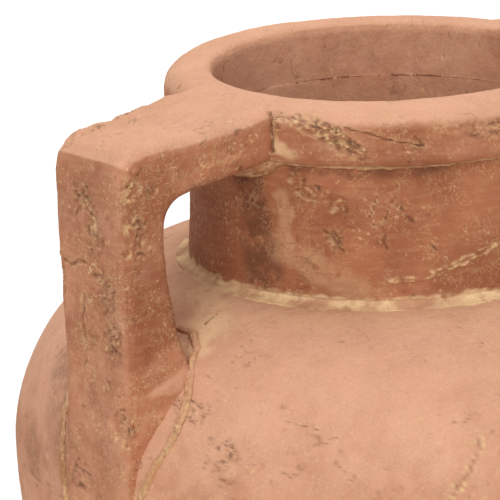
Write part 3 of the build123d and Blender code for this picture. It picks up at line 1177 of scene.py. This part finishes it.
    def rim(self) -> bpy.types.Object:
        """Turn the rim roll."""
        crown, roll, lip = self.crown_radius, self.roll_radius, self.lip_radius
        out, low, top = self.rim_radius, self.neck_top, self.top
        under = self.neck_radius - 1.0
        outline = joined(
            straight((under, low), (out - roll, low), 1.0),
            arc((out - roll, low + roll), (roll, roll), -90, 0, 0.8),
            straight((out, low + roll), (out, top - crown), 0.8),
            arc((out - crown, top - crown), (crown, crown), 0, 90, 0.8),
            straight((out - crown, top), (self.bore + lip, top), 0.9),
            arc((self.bore + lip, top - lip), (lip, lip), 90, 180, 0.9),
            straight((self.bore, top - lip), (self.bore, low - self.lap), 2.0),
            straight((self.bore, low - self.lap), (under, low), 4.0),
        )
        piece = turn_outline("rim_roll_ring", outline, 0.8, 1.9)
        spot = self.on_rim
        marks = (
            Gouge(spot((-158.5, 1.5), (-153.5, 4.5), (-149, 7.5), (-145, 10.8), (-141.3, 14.0),
                       (-137.8, 17.3), (-135.3, 20.3)), 2.3, 1.6),
            Gouge(spot((-155.5, 0.6), (-150, 2.8), (-144.5, 6.2), (-141, 10.6), (-137.5, 14.5)),
                  1.9, 1.3),
            Crack(spot((-157.0, 1.0), (-149.0, 5.6), (-142.5, 9.8), (-138.5, 15.6)), 0.8, 1.8),
            Crack(spot((-145.1, 4.2), (-141.3, 5.2), (-136.4, 7.1), (-131.5, 10.1), (-126.7, 11.6),
                       (-121.7, 13.8)), 0.7, 0.9, 0.2, 0.5),
            Crack(spot((-125.4, 8.4), (-124.4, 10.6), (-123.2, 13.2)), 0.9, 1.0, grit=0.3),
            Crumble(spot((-117.5, 5.5))[0], (9, 7, 4.0), 0.55, 2.2, 0.7),
            Crumble(spot((-106.0, 8.5))[0], (10, 8, 5.0), 0.6, 2.4, 0.7),
            Crack(spot((-163.6, 0.6), (-162.6, 5.7), (-162.0, 11.7), (-161.8, 18.0)), 1.7, 2.6,
                  0.4, 0.6),
            Crumble(spot((-161.5, 2.5))[0], (5.0, 6.0, 3.6), 0.8, 2.0, 0.8),
            Crumble(spot((-161.0, 9.0))[0], (3.0, 3.4, 6.0), 0.7, 2.0, 0.8),
            Smear(spot((-164, 21), (-150, 22.5), (-130, 23), (-110, 23), (-90, 23)), Trace.SLIP,
                  2.2, 0.55, 1.6, 5.0),
            Smear(spot((-162, 14), (-157, 17)), Trace.SLIP, 4.0, 0.5, 3.0, 5.0),
            Crumble(spot((172, 6.5))[0], (5, 5, 5), 0.8, 2.0, 0.8),
            Crumble(spot((-20, 6.0))[0], (9, 9, 5), 0.7, 2.3, 0.8),
            Gouge(spot((25, 4), (32, 9), (37, 15)), 2.0, 1.2),
            Crack(spot((70, 3), (78, 8), (84, 16)), 0.9, 1.0),
            Crack(spot((120, 6), (128, 9), (133, 15)), 0.9, 1.0),
        )
        skin = Skin(dust_and_light=0.30, up_dust_and_light=0.8, wobble=0.8, lumps=0.3, pocks=0.5, inner_dust=0.7)
        self.work(piece, skin, marks, 1)
        return piece

    def build(self) -> None:
        """Turn every ring and dress it."""
        for make, node, slot in (
            (self.slab, "base_slab", Slot.VESSEL),
            (self.lower_bowl, "lower_bowl", Slot.VESSEL),
            (self.upper_bowl, "upper_bowl", Slot.VESSEL),
            (self.neck, "neck_collar", Slot.VESSEL),
            (self.rim, "rim_roll", Slot.VESSEL),
        ):
            place(make(), (node,), slot)


BODY_SKIN = Skin(dust_and_light=0.58, up_dust_and_light=0.35, lumps=0.2, pocks=0.3, brush=0.06, flecks=0.35)


def close_poles(piece: bpy.types.Object) -> None:
    """Close the small holes that a spun outline leaves on the axis."""
    wake(piece)
    bpy.ops.object.mode_set(mode="EDIT")
    bpy.ops.mesh.select_all(action="DESELECT")
    bpy.ops.mesh.select_mode(type="EDGE")
    bpy.ops.mesh.select_non_manifold(extend=False)
    bpy.ops.mesh.edge_face_add()
    bpy.ops.mesh.select_mode(type="VERT")
    bpy.ops.mesh.select_all(action="SELECT")
    bpy.ops.mesh.normals_make_consistent(inside=False)
    bpy.ops.object.mode_set(mode="OBJECT")


def settle(piece: bpy.types.Object) -> None:
    """Rub the foot flat, so that nothing reaches below the plane it stands on."""
    for vertex in piece.data.vertices:
        vertex.co.z = max(vertex.co.z, 0.0)


def place(piece: bpy.types.Object, nodes: Sequence[str], slot: Slot) -> None:
    """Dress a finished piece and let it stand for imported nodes.

    Args:
        piece: The finished piece.
        nodes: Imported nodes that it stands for.
        slot: Slot of the record that its finish belongs to.
    """
    piece.data.materials.clear()
    piece.data.materials.append(MATERIALS[slot])
    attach(piece, "root")
    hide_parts(*nodes)
    log.info("%s: %d faces, stands for %s", piece.name, len(piece.data.polygons), ", ".join(nodes))


MATERIALS: dict[Slot, bpy.types.Material] = {}


# ------------------------------------------------------------------ straps
@dataclass(frozen=True)
class Section:
    """One cut across a strap: inner face and outer face, each a point and a half width."""

    inner: Point2
    outer: Point2
    inner_half: float
    outer_half: float


@dataclass
class Strap:
    """A strap handle drawn out from the rim, bent over a corner and pressed on the belly."""

    name: str
    side: int
    node: str
    grain: float
    marks: Sequence[Mark]
    edge: float = 4.8
    outer_edge: float = 6.5

    def sections(self) -> list[Section]:
        """Cuts from inside the rim, along the arm, round the corner and down the leg."""
        arm = (
            Section((79.0, 349.0), (79.0, 371.2), 28.0, 26.0),
            Section((86.0, 348.0), (86.0, 371.4), 28.5, 27.5),
            Section((93.0, 347.3), (93.0, 370.6), 28.3, 27.8),
            Section((100.0, 346.3), (100.0, 369.0), 27.3, 27.4),
            Section((108.0, 345.0), (108.0, 367.7), 26.0, 26.6),
            Section((118.0, 343.3), (118.0, 366.8), 24.1, 25.1),
        )
        corner = (
            Section((125.0, 342.0), (128.0, 366.2), 22.6, 23.8),
            Section((131.8, 340.4), (141.3, 365.6), 22.2, 23.0),
            Section((135.6, 338.0), (151.3, 365.0), 22.0, 22.6),
            Section((137.8, 335.0), (157.8, 363.2), 22.0, 22.4),
            Section((139.0, 331.8), (161.9, 359.4), 22.0, 22.4),
            Section((139.6, 327.0), (163.5, 352.5), 22.0, 22.4),
        )
        leg = (
            Section((139.5, 319.0), (163.9, 334.0), 22.0, 22.4),
            Section((138.6, 309.0), (163.9, 316.0), 22.0, 22.4),
            Section((136.2, 297.0), (163.5, 299.0), 22.2, 22.4),
            Section((134.6, 284.0), (163.1, 285.0), 23.0, 22.3),
            Section((132.6, 272.0), (162.9, 272.0), 26.0, 22.0),
            Section((131.3, 262.0), (163.1, 262.0), 30.5, 22.0),
            Section((130.8, 253.0), (163.5, 253.0), 33.0, 22.4),
            Section((130.8, 244.0), (164.3, 244.0), 32.2, 22.6),
            Section((131.8, 234.0), (165.1, 234.0), 29.0, 22.4),
            Section((134.0, 222.0), (166.4, 222.0), 26.4, 22.6),
            Section((139.0, 210.0), (166.6, 210.0), 23.0, 21.0),
            Section((143.0, 200.0), (166.1, 200.0), 19.5, 17.0),
            Section((147.0, 191.0), (164.8, 191.0), 14.0, 11.5),
            Section((149.0, 186.0), (163.4, 186.0), 7.5, 5.5),
        )
        return [*arm, *corner, *leg]

    def ring(self, cut: Section) -> list[Point3]:
        """Corners of one cut, rounded by the strap's edge."""
        start = np.array(cut.inner)
        way = np.array(cut.outer) - start
        depth = float(np.hypot(*way))
        way = way / depth
        spots = []
        for half, sign, level in (
            (cut.outer_half, 1, depth), (cut.outer_half, -1, depth),
            (cut.inner_half, -1, 0.0), (cut.inner_half, 1, 0.0),
        ):
            edge = min(self.outer_edge if level else self.edge, 0.45 * half)
            inward = -1 if level else 1
            turns = np.radians(np.linspace(0, 90, 5))
            if sign * inward > 0:
                turns = turns[::-1]
            for turn in turns:
                across = sign * (half - edge + edge * math.cos(turn))
                up = level + inward * (edge - edge * math.sin(turn))
                spots.append((across, up))
        points = []
        for across, up in spots:
            place = start + way * up
            points.append((self.side * place[0], self.side * across, float(place[1])))
        return points

    def build(self) -> None:
        """Draw the strap out, even its mesh, work it and mark it."""
        piece = draw_out(self.name, [self.ring(cut) for cut in self.sections()], False)
        even_skin(piece, self.grain, 3)
        surface = Surface(piece)
        points = surface.start
        surface.push(0.5 * BODY_NOISE.layers(points, 46.0, 2))
        skin = Skin(wobble=0.3, lumps=0.38, pocks=0.5, dust_and_light=0.22, up_dust_and_light=0.75, grain=0.10)
        skin.work(surface)
        # The outer face gets more of the pale colour: dusting and painted light from the side.
        facing_out = ramp(self.side * surface.normals[:, 0], 0.2, 0.9)
        broad = 0.12 * BODY_NOISE.layers(surface.start, 22.0, 2)
        surface.leave(Trace.DUST_AND_LIGHT, (0.42 + broad) * facing_out)
        self.rough_edges(surface)
        for mark in self.marks:
            mark.work(surface)
        surface.finish()
        place(piece, (self.node,), Slot.HANDLE)

    def rough_edges(self, surface: Surface) -> None:
        """Leave sand on the strap's edges where wet hands pulled along it."""
        points = surface.start
        out = self.side * points[:, 0]
        across = self.side * points[:, 1]
        leg = ramp(out, 156, 161) * ramp(points[:, 2], 254, 272) * ramp(358 - points[:, 2], 0, 8)
        centre = 5.0 - 0.02 * (points[:, 2] - 250.0)
        band = leg * ramp(9.0 - np.abs(across - centre) + 6 * MARK_NOISE.layers(points, 15.0, 3),
                          0.0, 5.0)
        rough = shaken(points, 2.6, 1.1)
        split = np.maximum(MARK_NOISE.veins(rough, 6.0, 0.12), 0.6 * MARK_NOISE.veins(rough, 2.2, 0.2))
        plate = ramp(MARK_NOISE.layers(points, 4.0, 3), -0.05, 0.08)
        surface.push(-0.55 * band * split - 0.40 * band * plate)
        patchy = ramp(MARK_NOISE.layers(points, 9.0, 2), -0.1, 0.35)
        sandy = ramp(MARK_NOISE.layers(points + 20.0, 2.8, 3), -0.1, 0.2)
        surface.leave(Trace.GRIT, 0.8 * band * sandy * patchy * (1 - split))
        # The splits in the rough band are darkened with painted shade.
        surface.leave(Trace.CREVICE_SHADE, 0.8 * band * split * patchy)
        shin = ramp(out, 150, 154) * ramp(points[:, 2], 316, 324) * ramp(360 - points[:, 2], 0, 10)
        shin *= ramp(8.0 - np.abs(out - 156.0), 0.0, 5.0) * ramp(across, 14, 18)
        shin *= ramp(MARK_NOISE.layers(points, 8.0, 3), -0.1, 0.2)
        surface.push(-0.5 * shin * (plate + split))
        surface.leave(Trace.GRIT, 0.7 * shin * sandy)


def near_strap_marks() -> list[Mark]:
    """Marks on the strap nearest the eye: its front side, outer face and top."""
    side, face = -22.4, -163.6
    return [
        Dent((face, -18.0, 250.0), (8.4, 8.4, 7.8), 2.3, 0.3, 0.15),
        Crumble((face, -18.0, 251.0), (7.0, 7.4, 6.4), 1.0, 2.4, 0.8),
        Crack(((face, -11.0, 253.0), (face, -14.0, 257.0), (face, -20.5, 258.0)), 1.0, 1.5, 0.3,
              0.3),
        Crack(((face, -11.0, 245.0), (face, -16.0, 243.4), (face, -22.0, 242.0)), 0.9, 0.9, 0.3,
              1.0),
        Crack(((-147.2, side, 365.4), (-141.0, side, 365.2), (-132.8, side, 365.4),
               (-117.6, -25.0, 366.6), (-104.3, -26.6, 367.8), (-93.6, -27.4, 369.0)), 0.75, 1.0,
              0.2, 0.8),
        Crumble((-154.0, side, 334.0), (3.6, 4, 3.0), 1.0, 2.4, 1.0),
        Crumble((-154.2, side, 327.6), (3.4, 4, 3.6), 1.2, 2.4, 1.0),
        Dent((-161.0, side, 323.4), (2.4, 3.0, 2.0), 1.2, 0.3, 0.7),
        Crack(((-156.5, side, 323.0), (-151.8, side, 321.4), (-147.0, side, 322.2)), 1.1, 1.0, 0.3,
              0.9),
        Crumble((-147.1, side, 346.8), (3.6, 4, 3.0), 0.8, 2.0, 0.8),
        Crumble((-157.0, side, 352.0), (5.0, 4, 3.2), 0.7, 2.2, 0.8),
        Crumble((-122.0, -25.0, 355.0), (5.0, 4, 3.0), 0.5, 2.0, 0.6),
        Crack(((face, 23.0, 315.6), (face, 18.0, 315.2), (face, 12.0, 313.4), (face, 5.0, 316.6),
               (face, 0.0, 316.2)), 1.0, 1.8, 0.3, 0.6),
        Gouge(((face, 22.5, 313.8), (face, 21.5, 306.0), (face, 20.5, 297.5)), 2.6, 1.6, 2.0, 0.7),
        Crack(((face, 8.0, 350.0), (face, 5.0, 343.0), (face, 6.0, 335.0)), 0.9, 1.0, 0.2, 0.1),
        Crumble((face, 3.0, 344.0), (4.0, 6.0, 9.0), 1.5, 2.4, 0.6),
        Crumble((face, -4.0, 327.0), (4.0, 8.0, 11.0), 1.4, 2.2, 0.55),
        Crumble((face, -9.0, 306.0), (4.0, 8.0, 12.0), 1.5, 2.2, 0.55),
        Crumble((face, -12.0, 284.0), (4.0, 7.0, 13.0), 1.3, 2.2, 0.5),
        Crumble((face, 19.0, 306.0), (4.0, 4.0, 9.0), 1.6, 2.4, 0.5),
        Crack(((face, 3.0, 304.0), (face, 6.0, 292.0), (face, 4.0, 279.0), (face, 8.0, 268.0)),
              1.2, 1.4, 0.2, 0.5),
        Crack(((-151.0, -26.0, 256.0), (-149.5, -27.5, 249.0), (-149.0, -28.5, 241.0),
               (-150.0, -28.0, 233.0)), 1.0, 1.4, 0.3, 0.5),
        # Painted shade along the leg's inner edge and under the arm, in the sooty colour.
        Smear(((-138.0, side, 338.0), (-137.5, side, 312.0), (-136.0, -24.5, 285.0)),
              Trace.SOOT_AND_SHADOW, 7.0, 0.30, 3.0, 9.0),
        Smear(((-124.0, side, 344.0), (-104.0, -26.0, 348.5)), Trace.SOOT_AND_SHADOW, 6.5, 0.30, 3.0, 7.0),
        Dent((-110.0, -26.4, 357.0), (7, 8, 5), 0.7, 0.2, 0.2),
        Dent((-127.0, -24.8, 352.0), (8, 8, 6), 0.6, 0.2, 0.2),
        Dent((-120.0, 4.0, 366.6), (12, 9, 5), 0.8, 0.2, 0.0),
        Dent((-147.0, -8.0, 365.6), (8, 8, 5), 1.0, 0.3, 0.1),
        Dent((-147.0, 18.0, 365.5), (13, 9, 7), -1.6, 0.0, 0.0),
        Dent((-123.0, 22.5, 366.5), (15, 8, 7), -2.0, 0.0, 0.0),
        Dent((-104.0, 26.0, 368.0), (10, 7, 6), -1.8, 0.0, 0.0),
        Crumble((-150.0, 16.0, 365.0), (9, 6, 4), 0.9, 3.0, 0.7),
        Crumble((-128.0, 22.0, 366.5), (11, 5, 4), 0.9, 2.6, 0.6),
        Crack(((-158.0, -4.0, 363.5), (-152.0, 2.0, 365.2), (-146.0, 2.0, 365.6)), 0.7, 0.6),
        Crumble((-166.0, 8.0, 225.0), (7, 8, 9), 0.8, 2.6, 0.7),
    ]


def far_strap_marks() -> list[Mark]:
    """Marks on the far strap."""
    return [
        Dent((155.0, 26.0, 248.0), (9, 9, 9), 2.0, 0.3, 0.8),
        Dent((158.0, -26.0, 242.0), (9, 9, 9), 1.8, 0.3, 0.8),
        Crack(((142.0, 23.4, 364.5), (125.0, 24.6, 365.6), (104.0, 26.6, 367.0)), 0.7, 0.8),
        Crack(((142.0, -23.4, 364.5), (125.0, -24.6, 365.6), (104.0, -26.6, 367.0)), 0.7, 0.8),
        Crumble((152.0, 23.2, 330.0), (6, 4, 5), 1.1, 2.4, 0.9),
        Crumble((150.0, -23.2, 312.0), (6, 4, 6), 1.1, 2.4, 0.9),
        Crack(((164.4, -13.0, 322.0), (164.4, -5.0, 319.0), (164.4, 2.0, 321.0)), 1.0, 1.4),
        Crumble((164.2, 7.0, 292.0), (4, 6, 8), 0.9, 2.4, 0.8),
        Crack(((165.0, 3.0, 280.0), (164.0, 6.0, 262.0), (165.0, 1.0, 246.0)), 0.9, 0.9),
        Dent((118.0, 3.0, 366.6), (11, 8, 5), 0.9, 0.2, 0.1),
    ]


# ------------------------------------------------------------------ slips, wads and coils
def tube(path: Sequence[Point3], outward: Sequence[Point3], thick: float, proud: float) -> list:
    """Rings of a round bead of slip laid along a path.

    Args:
        path: Middle of the bead.
        outward: Direction away from the wall at each place.
        thick: Half width of the bead along the wall.
        proud: Half height of the bead off the wall.

    Returns:
        Rings of ten corners.
    """
    rings = []
    count = len(path)
    for number, (place, away) in enumerate(zip(path, outward)):
        before = Vector(path[max(0, number - 1)])
        after = Vector(path[min(count - 1, number + 1)])
        way = (after - before).normalized()
        away = Vector(away)
        away = (away - way * away.dot(way)).normalized()
        side = way.cross(away)
        ring = []
        for turn in np.radians(np.arange(0, 360, 36)):
            spot = Vector(place) + side * thick * math.cos(turn) + away * proud * math.sin(turn)
            ring.append(tuple(spot))
        rings.append(ring)
    return rings


@dataclass
class Luting:
    """The wet clay that joins rim, neck and straps: beads, fillets, wads and inner coils."""

    vessel: Vessel
    bead: float = 1.4
    bead_thick: float = 1.2
    bead_reach: float = 3.5
    foot_bead: float = 2.0
    foot_bead_proud: float = 1.3

    def lumpy(self, piece: bpy.types.Object, grit: float, lumps: float, slip: float) -> None:
        """Work a joint all over: lumps, sand in its folds and pale slip on its back."""
        surface = Surface(piece)
        points = surface.start
        surface.push(lumps * BODY_NOISE.layers(points, 6.0, 3))
        split = MARK_NOISE.veins(shaken(points, 2.6, 1.0), 4.5, 0.14)
        surface.push(-0.5 * lumps * split)
        patchy = ramp(MARK_NOISE.layers(points, 9.0, 3), -0.3, 0.25)
        sandy = ramp(MARK_NOISE.layers(points + 20.0, 2.6, 3), -0.15, 0.15)
        surface.leave(Trace.GRIT, grit * patchy * sandy)
        # The folds of the joint are darkened with painted shade.
        surface.leave(Trace.CREVICE_SHADE, 0.7 * grit * split * patchy)
        surface.leave(Trace.SLIP, slip * ramp(BODY_NOISE.layers(points, 11.0, 3), -0.35, 0.2))
        # Faces that look up get more of the pale colour: dusting and painted light from above.
        up = ramp(surface.normals[:, 2], 0.0, 0.7)
        surface.leave(Trace.DUST_AND_LIGHT, 0.2 + 0.4 * up + 0.2 * BODY_NOISE.layers(points, 12.0, 2))
        surface.finish()

    def neck_fillet(self) -> None:
        """Fillet of slip where the neck stands on the shoulder."""
        vessel = self.vessel
        foot, level = vessel.neck_foot, vessel.shoulder_z
        outline = joined(
            curve(((foot - 0.5, level + 3.0), (foot + 0.7, level + 0.4), (foot + 5.0, level + 0.05)),
                  0.7),
            straight((foot + 5.0, level + 0.05), (foot + 4.0, level - 2.0), 2.0),
            straight((foot + 4.0, level - 2.0), (foot - 2.0, level - 1.0), 2.5),
            straight((foot - 2.0, level - 1.0), (foot - 0.5, level + 3.0), 2.0),
        )
        piece = turn_outline("neck_fillet_slip", outline, 0.9, 2.0)
        self.lumpy(piece, 0.15, 0.30, 1.0)
        place(piece, ("neck_bead",), Slot.SLIP)

    def rim_beads(self) -> None:
        """Beads of slip under the rim, in front and behind."""
        vessel = self.vessel
        for node, name, turn in (
            ("rim_bead_front", "rim_slip_front", -90),
            ("rim_bead_back", "rim_slip_back", 90),
        ):
            reach = math.degrees(math.acos(corners(node)[1].x / (vessel.neck_radius + self.bead_reach)))
            spread = 90.0 - reach + 4.0
            azimuths = np.arange(turn - spread, turn + spread + 0.1, 1.0)
            radius, level = vessel.neck_radius + 0.6, vessel.neck_top - 0.7
            path = [on_ring(a, level, radius) for a in azimuths]
            away = [on_ring(a, -0.7, 1.0) for a in azimuths]
            rings = tube(path, away, self.bead_thick, self.bead)
            piece = draw_out(name, rings, False)
            even_skin(piece, 0.65, 1)
            self.lumpy(piece, 0.5, 0.7, 0.2)
            place(piece, (node,), Slot.SLIP)

    def foot_beads(self) -> None:
        """Beads squeezed out round the foot of each strap."""
        half = (
            (21.0, 276.0), (24.0, 271.5), (28.5, 267.0), (32.6, 261.5), (35.0, 255.0),
            (35.3, 248.5), (33.2, 241.7), (30.4, 235.0), (27.2, 226.5), (24.8, 219.0),
            (22.5, 209.0), (19.0, 199.0), (13.0, 189.5), (0.0, 184.5),
        )
        loop = [(-y, z) for y, z in half] + [(y, z) for y, z in half[-2::-1]]
        loop += [(12.0, 279.5), (-12.0, 279.5), (-21.0, 276.0)]
        for node, name, side in (
            ("foot_bead_right", "foot_slip_right", 1),
            ("foot_bead_left", "foot_slip_left", -1),
        ):
            path, away = [], []
            for start, end in zip(loop, loop[1:]):
                for share in np.linspace(0, 1, 4, endpoint=False):
                    y = side * (start[0] + share * (end[0] - start[0]))
                    z = start[1] + share * (end[1] - start[1])
                    radius = self.vessel.radius_at(z)
                    x = side * math.sqrt(radius * radius - y * y)
                    path.append((x, y, z))
                    rise = (z - self.vessel.belly_z) / (self.vessel.rise**2)
                    flat = (radius - self.vessel.neck_foot) / (self.vessel.reach**2)
                    steep = rise / max(flat, 1e-6) if z > self.vessel.belly_z else 0.0
                    away.append((x / radius, y / radius, steep))
            piece = draw_out(name, tube(path, away, self.foot_bead, self.foot_bead_proud), False)
            even_skin(piece, 0.65 if side < 0 else 0.9, 1)
            self.lumpy(piece, 0.6, 0.8, 0.05)
            place(piece, (node,), Slot.SLIP)

    def wads(self) -> None:
        """Wads pressed under each arm, against neck and rim."""
        vessel = self.vessel
        outline = (
            (vessel.neck_radius - 1.5, 352.0), (97.0, 352.0), (99.5, 349.5), (97.5, 345.5),
            (91.0, 340.5), (86.5, 337.6), (vessel.neck_radius - 1.5, 337.0),
        )
        for node, name, side in (("wad_right", "wad_right_tab", 1), ("wad_left", "wad_left_tab", -1)):
            rings = []
            for share in np.linspace(-1, 1, 13):
                size = math.sqrt(max(0.0, 1 - abs(share) ** 3)) * 0.72 + 0.28
                turn = 18.5 * share + (0.0 if side > 0 else 180.0)
                lift = 5.0 * abs(share) ** 1.5
                ring = []
                for radius, level in outline:
                    radius = vessel.neck_radius - 1.5 + (radius - vessel.neck_radius + 1.5) * size
                    level = 352.0 + (level - 352.0) * size + 0.3 * lift
                    ring.append(on_ring(turn, min(level, 352.5), radius))
                rings.append(ring)
            piece = draw_out(name, rings, False)
            even_skin(piece, 0.6, 3)
            self.lumpy(piece, 0.8, 0.55, 0.25)
            place(piece, (node,), Slot.HANDLE)

    def coils(self) -> None:
        """Coils pressed over the joints inside the body."""
        for node, name in (("belly_coil", "belly_inner_coil"), ("base_coil", "base_inner_coil")):
            low, high = corners(node)
            thick = (high.z - low.z) / 2
            middle = (high.x - thick, (high.z + low.z) / 2)
            outline = arc(middle, (thick, thick), 0, 360, 2.4)
            piece = turn_outline(name, outline, 3.0, 3.4)
            self.lumpy(piece, 0.2, 0.5, 0.0)
            place(piece, (node,), Slot.COIL)

    def build(self) -> None:
        """Make every joint."""
        self.neck_fillet()
        self.rim_beads()
        self.foot_beads()
        self.wads()
        self.coils()


# ------------------------------------------------------------------ studio
@dataclass(frozen=True)
class Softbox:
    """A soft square light that looks at the vessel."""

    name: str
    place: Point3
    size: float
    power: float
    aim: Point3 = (0.0, 0.0, 0.28)

    def build(self) -> None:
        """Hang the light."""
        data = bpy.data.lights.new(self.name, "AREA")
        data.shape = "SQUARE"
        data.size = self.size
        data.energy = self.power
        light = bpy.data.objects.new(self.name, data)
        bpy.context.collection.objects.link(light)
        light.location = self.place
        way = Vector(self.aim) - Vector(self.place)
        light.rotation_euler = way.to_track_quat("-Z", "Y").to_euler()


@dataclass(frozen=True)
class Studio:
    """Pale floor, soft light and the camera."""

    lights: Sequence[Softbox] = (
        Softbox("overhead_softbox", (0.35, -0.35, 2.2), 1.6, 17.0),
        Softbox("front_fill", (-2.6, -1.3, 1.3), 1.2, 41.0),
        Softbox("near_fill", (0.2, -2.4, 1.9), 1.0, 11.0),
        Softbox("floor_wash", (1.6, 2.2, 2.4), 2.6, 70.0, (1.6, 2.2, 0.0)),
    )
    surround: float = 0.42
    distance: float = 1.4595
    azimuth: float = -132.5
    above_rim: float = 0.3392
    yaw: float = -0.041
    pitch: float = 0.282
    roll: float = -0.033
    lens: float = 252.0

    def floor(self) -> None:
        """Lay the floor."""
        clear_selection()
        bpy.ops.mesh.primitive_plane_add(size=14.0, location=(0, 0, 0))
        floor = bpy.context.object
        floor.name = "studio_floor"
        paper = Nodes("floor_paper")
        faint = paper.between(paper.noise(60.0, 3, 0.5), 0.3, 0.7)
        colour = paper.blend(faint, (0.90, 0.90, 0.90), (0.885, 0.885, 0.885))
        paper.join(colour, paper.shader.inputs["Base Color"])
        paper.shader.inputs["Roughness"].default_value = 0.9
        floor.data.materials.append(paper.material)

    def world(self) -> None:
        """Set the light of the room."""
        world = bpy.data.worlds.new("studio_air")
        world.use_nodes = True
        back = next(n for n in world.node_tree.nodes if n.type == "BACKGROUND")
        back.inputs["Color"].default_value = (1.0, 1.0, 1.0, 1.0)
        back.inputs["Strength"].default_value = self.surround
        bpy.context.scene.world = world
        bpy.context.scene.view_settings.view_transform = "Standard"

    def camera(self, top: float) -> None:
        """Stand the camera.

        Args:
            top: Height of the rim in metres.
        """
        pitch, yaw, roll = self.pitch, self.yaw, self.roll
        ahead = Vector(
            (math.sin(yaw) * math.cos(pitch), math.cos(yaw) * math.cos(pitch), -math.sin(pitch))
        )
        level = Vector((math.cos(yaw), -math.sin(yaw), 0.0))
        upright = level.cross(ahead)
        right = level * math.cos(roll) + upright * math.sin(roll)
        up = upright * math.cos(roll) - level * math.sin(roll)
        axes = Matrix((right, up, -ahead)).transposed()
        turn = Matrix.Rotation(math.radians(self.azimuth + 90.0), 3, "Z")
        spot = turn @ Vector((0.0, -self.distance, top + self.above_rim))
        data = bpy.data.cameras.new("camera")
        data.lens = self.lens
        data.sensor_width = 36.0
        data.clip_start = 0.05
        data.dof.use_dof = False
        camera = bpy.data.objects.new("camera", data)
        bpy.context.collection.objects.link(camera)
        camera.matrix_world = Matrix.Translation(spot) @ (turn @ axes).to_4x4()
        bpy.context.scene.camera = camera

    def build(self, top: float) -> None:
        """Set up everything round the vessel."""
        self.floor()
        self.world()
        for light in self.lights:
            light.build()
        self.camera(top)


def main() -> None:
    """Build the amphora from foot to rim, then the studio."""
    logging.basicConfig(level=logging.INFO, format="%(name)s: %(message)s")
    for slot, finish in FINISHES.items():
        MATERIALS[slot] = finish.build()
    vessel = Vessel()
    vessel.build()
    Strap("strap_left", -1, "handle_left", 0.65, near_strap_marks()).build()
    Strap("strap_right", 1, "handle_right", 0.95, far_strap_marks()).build()
    Luting(vessel).build()
    Studio().build(CAD_BOX[1][2])


if __name__ == "__main__":
    main()
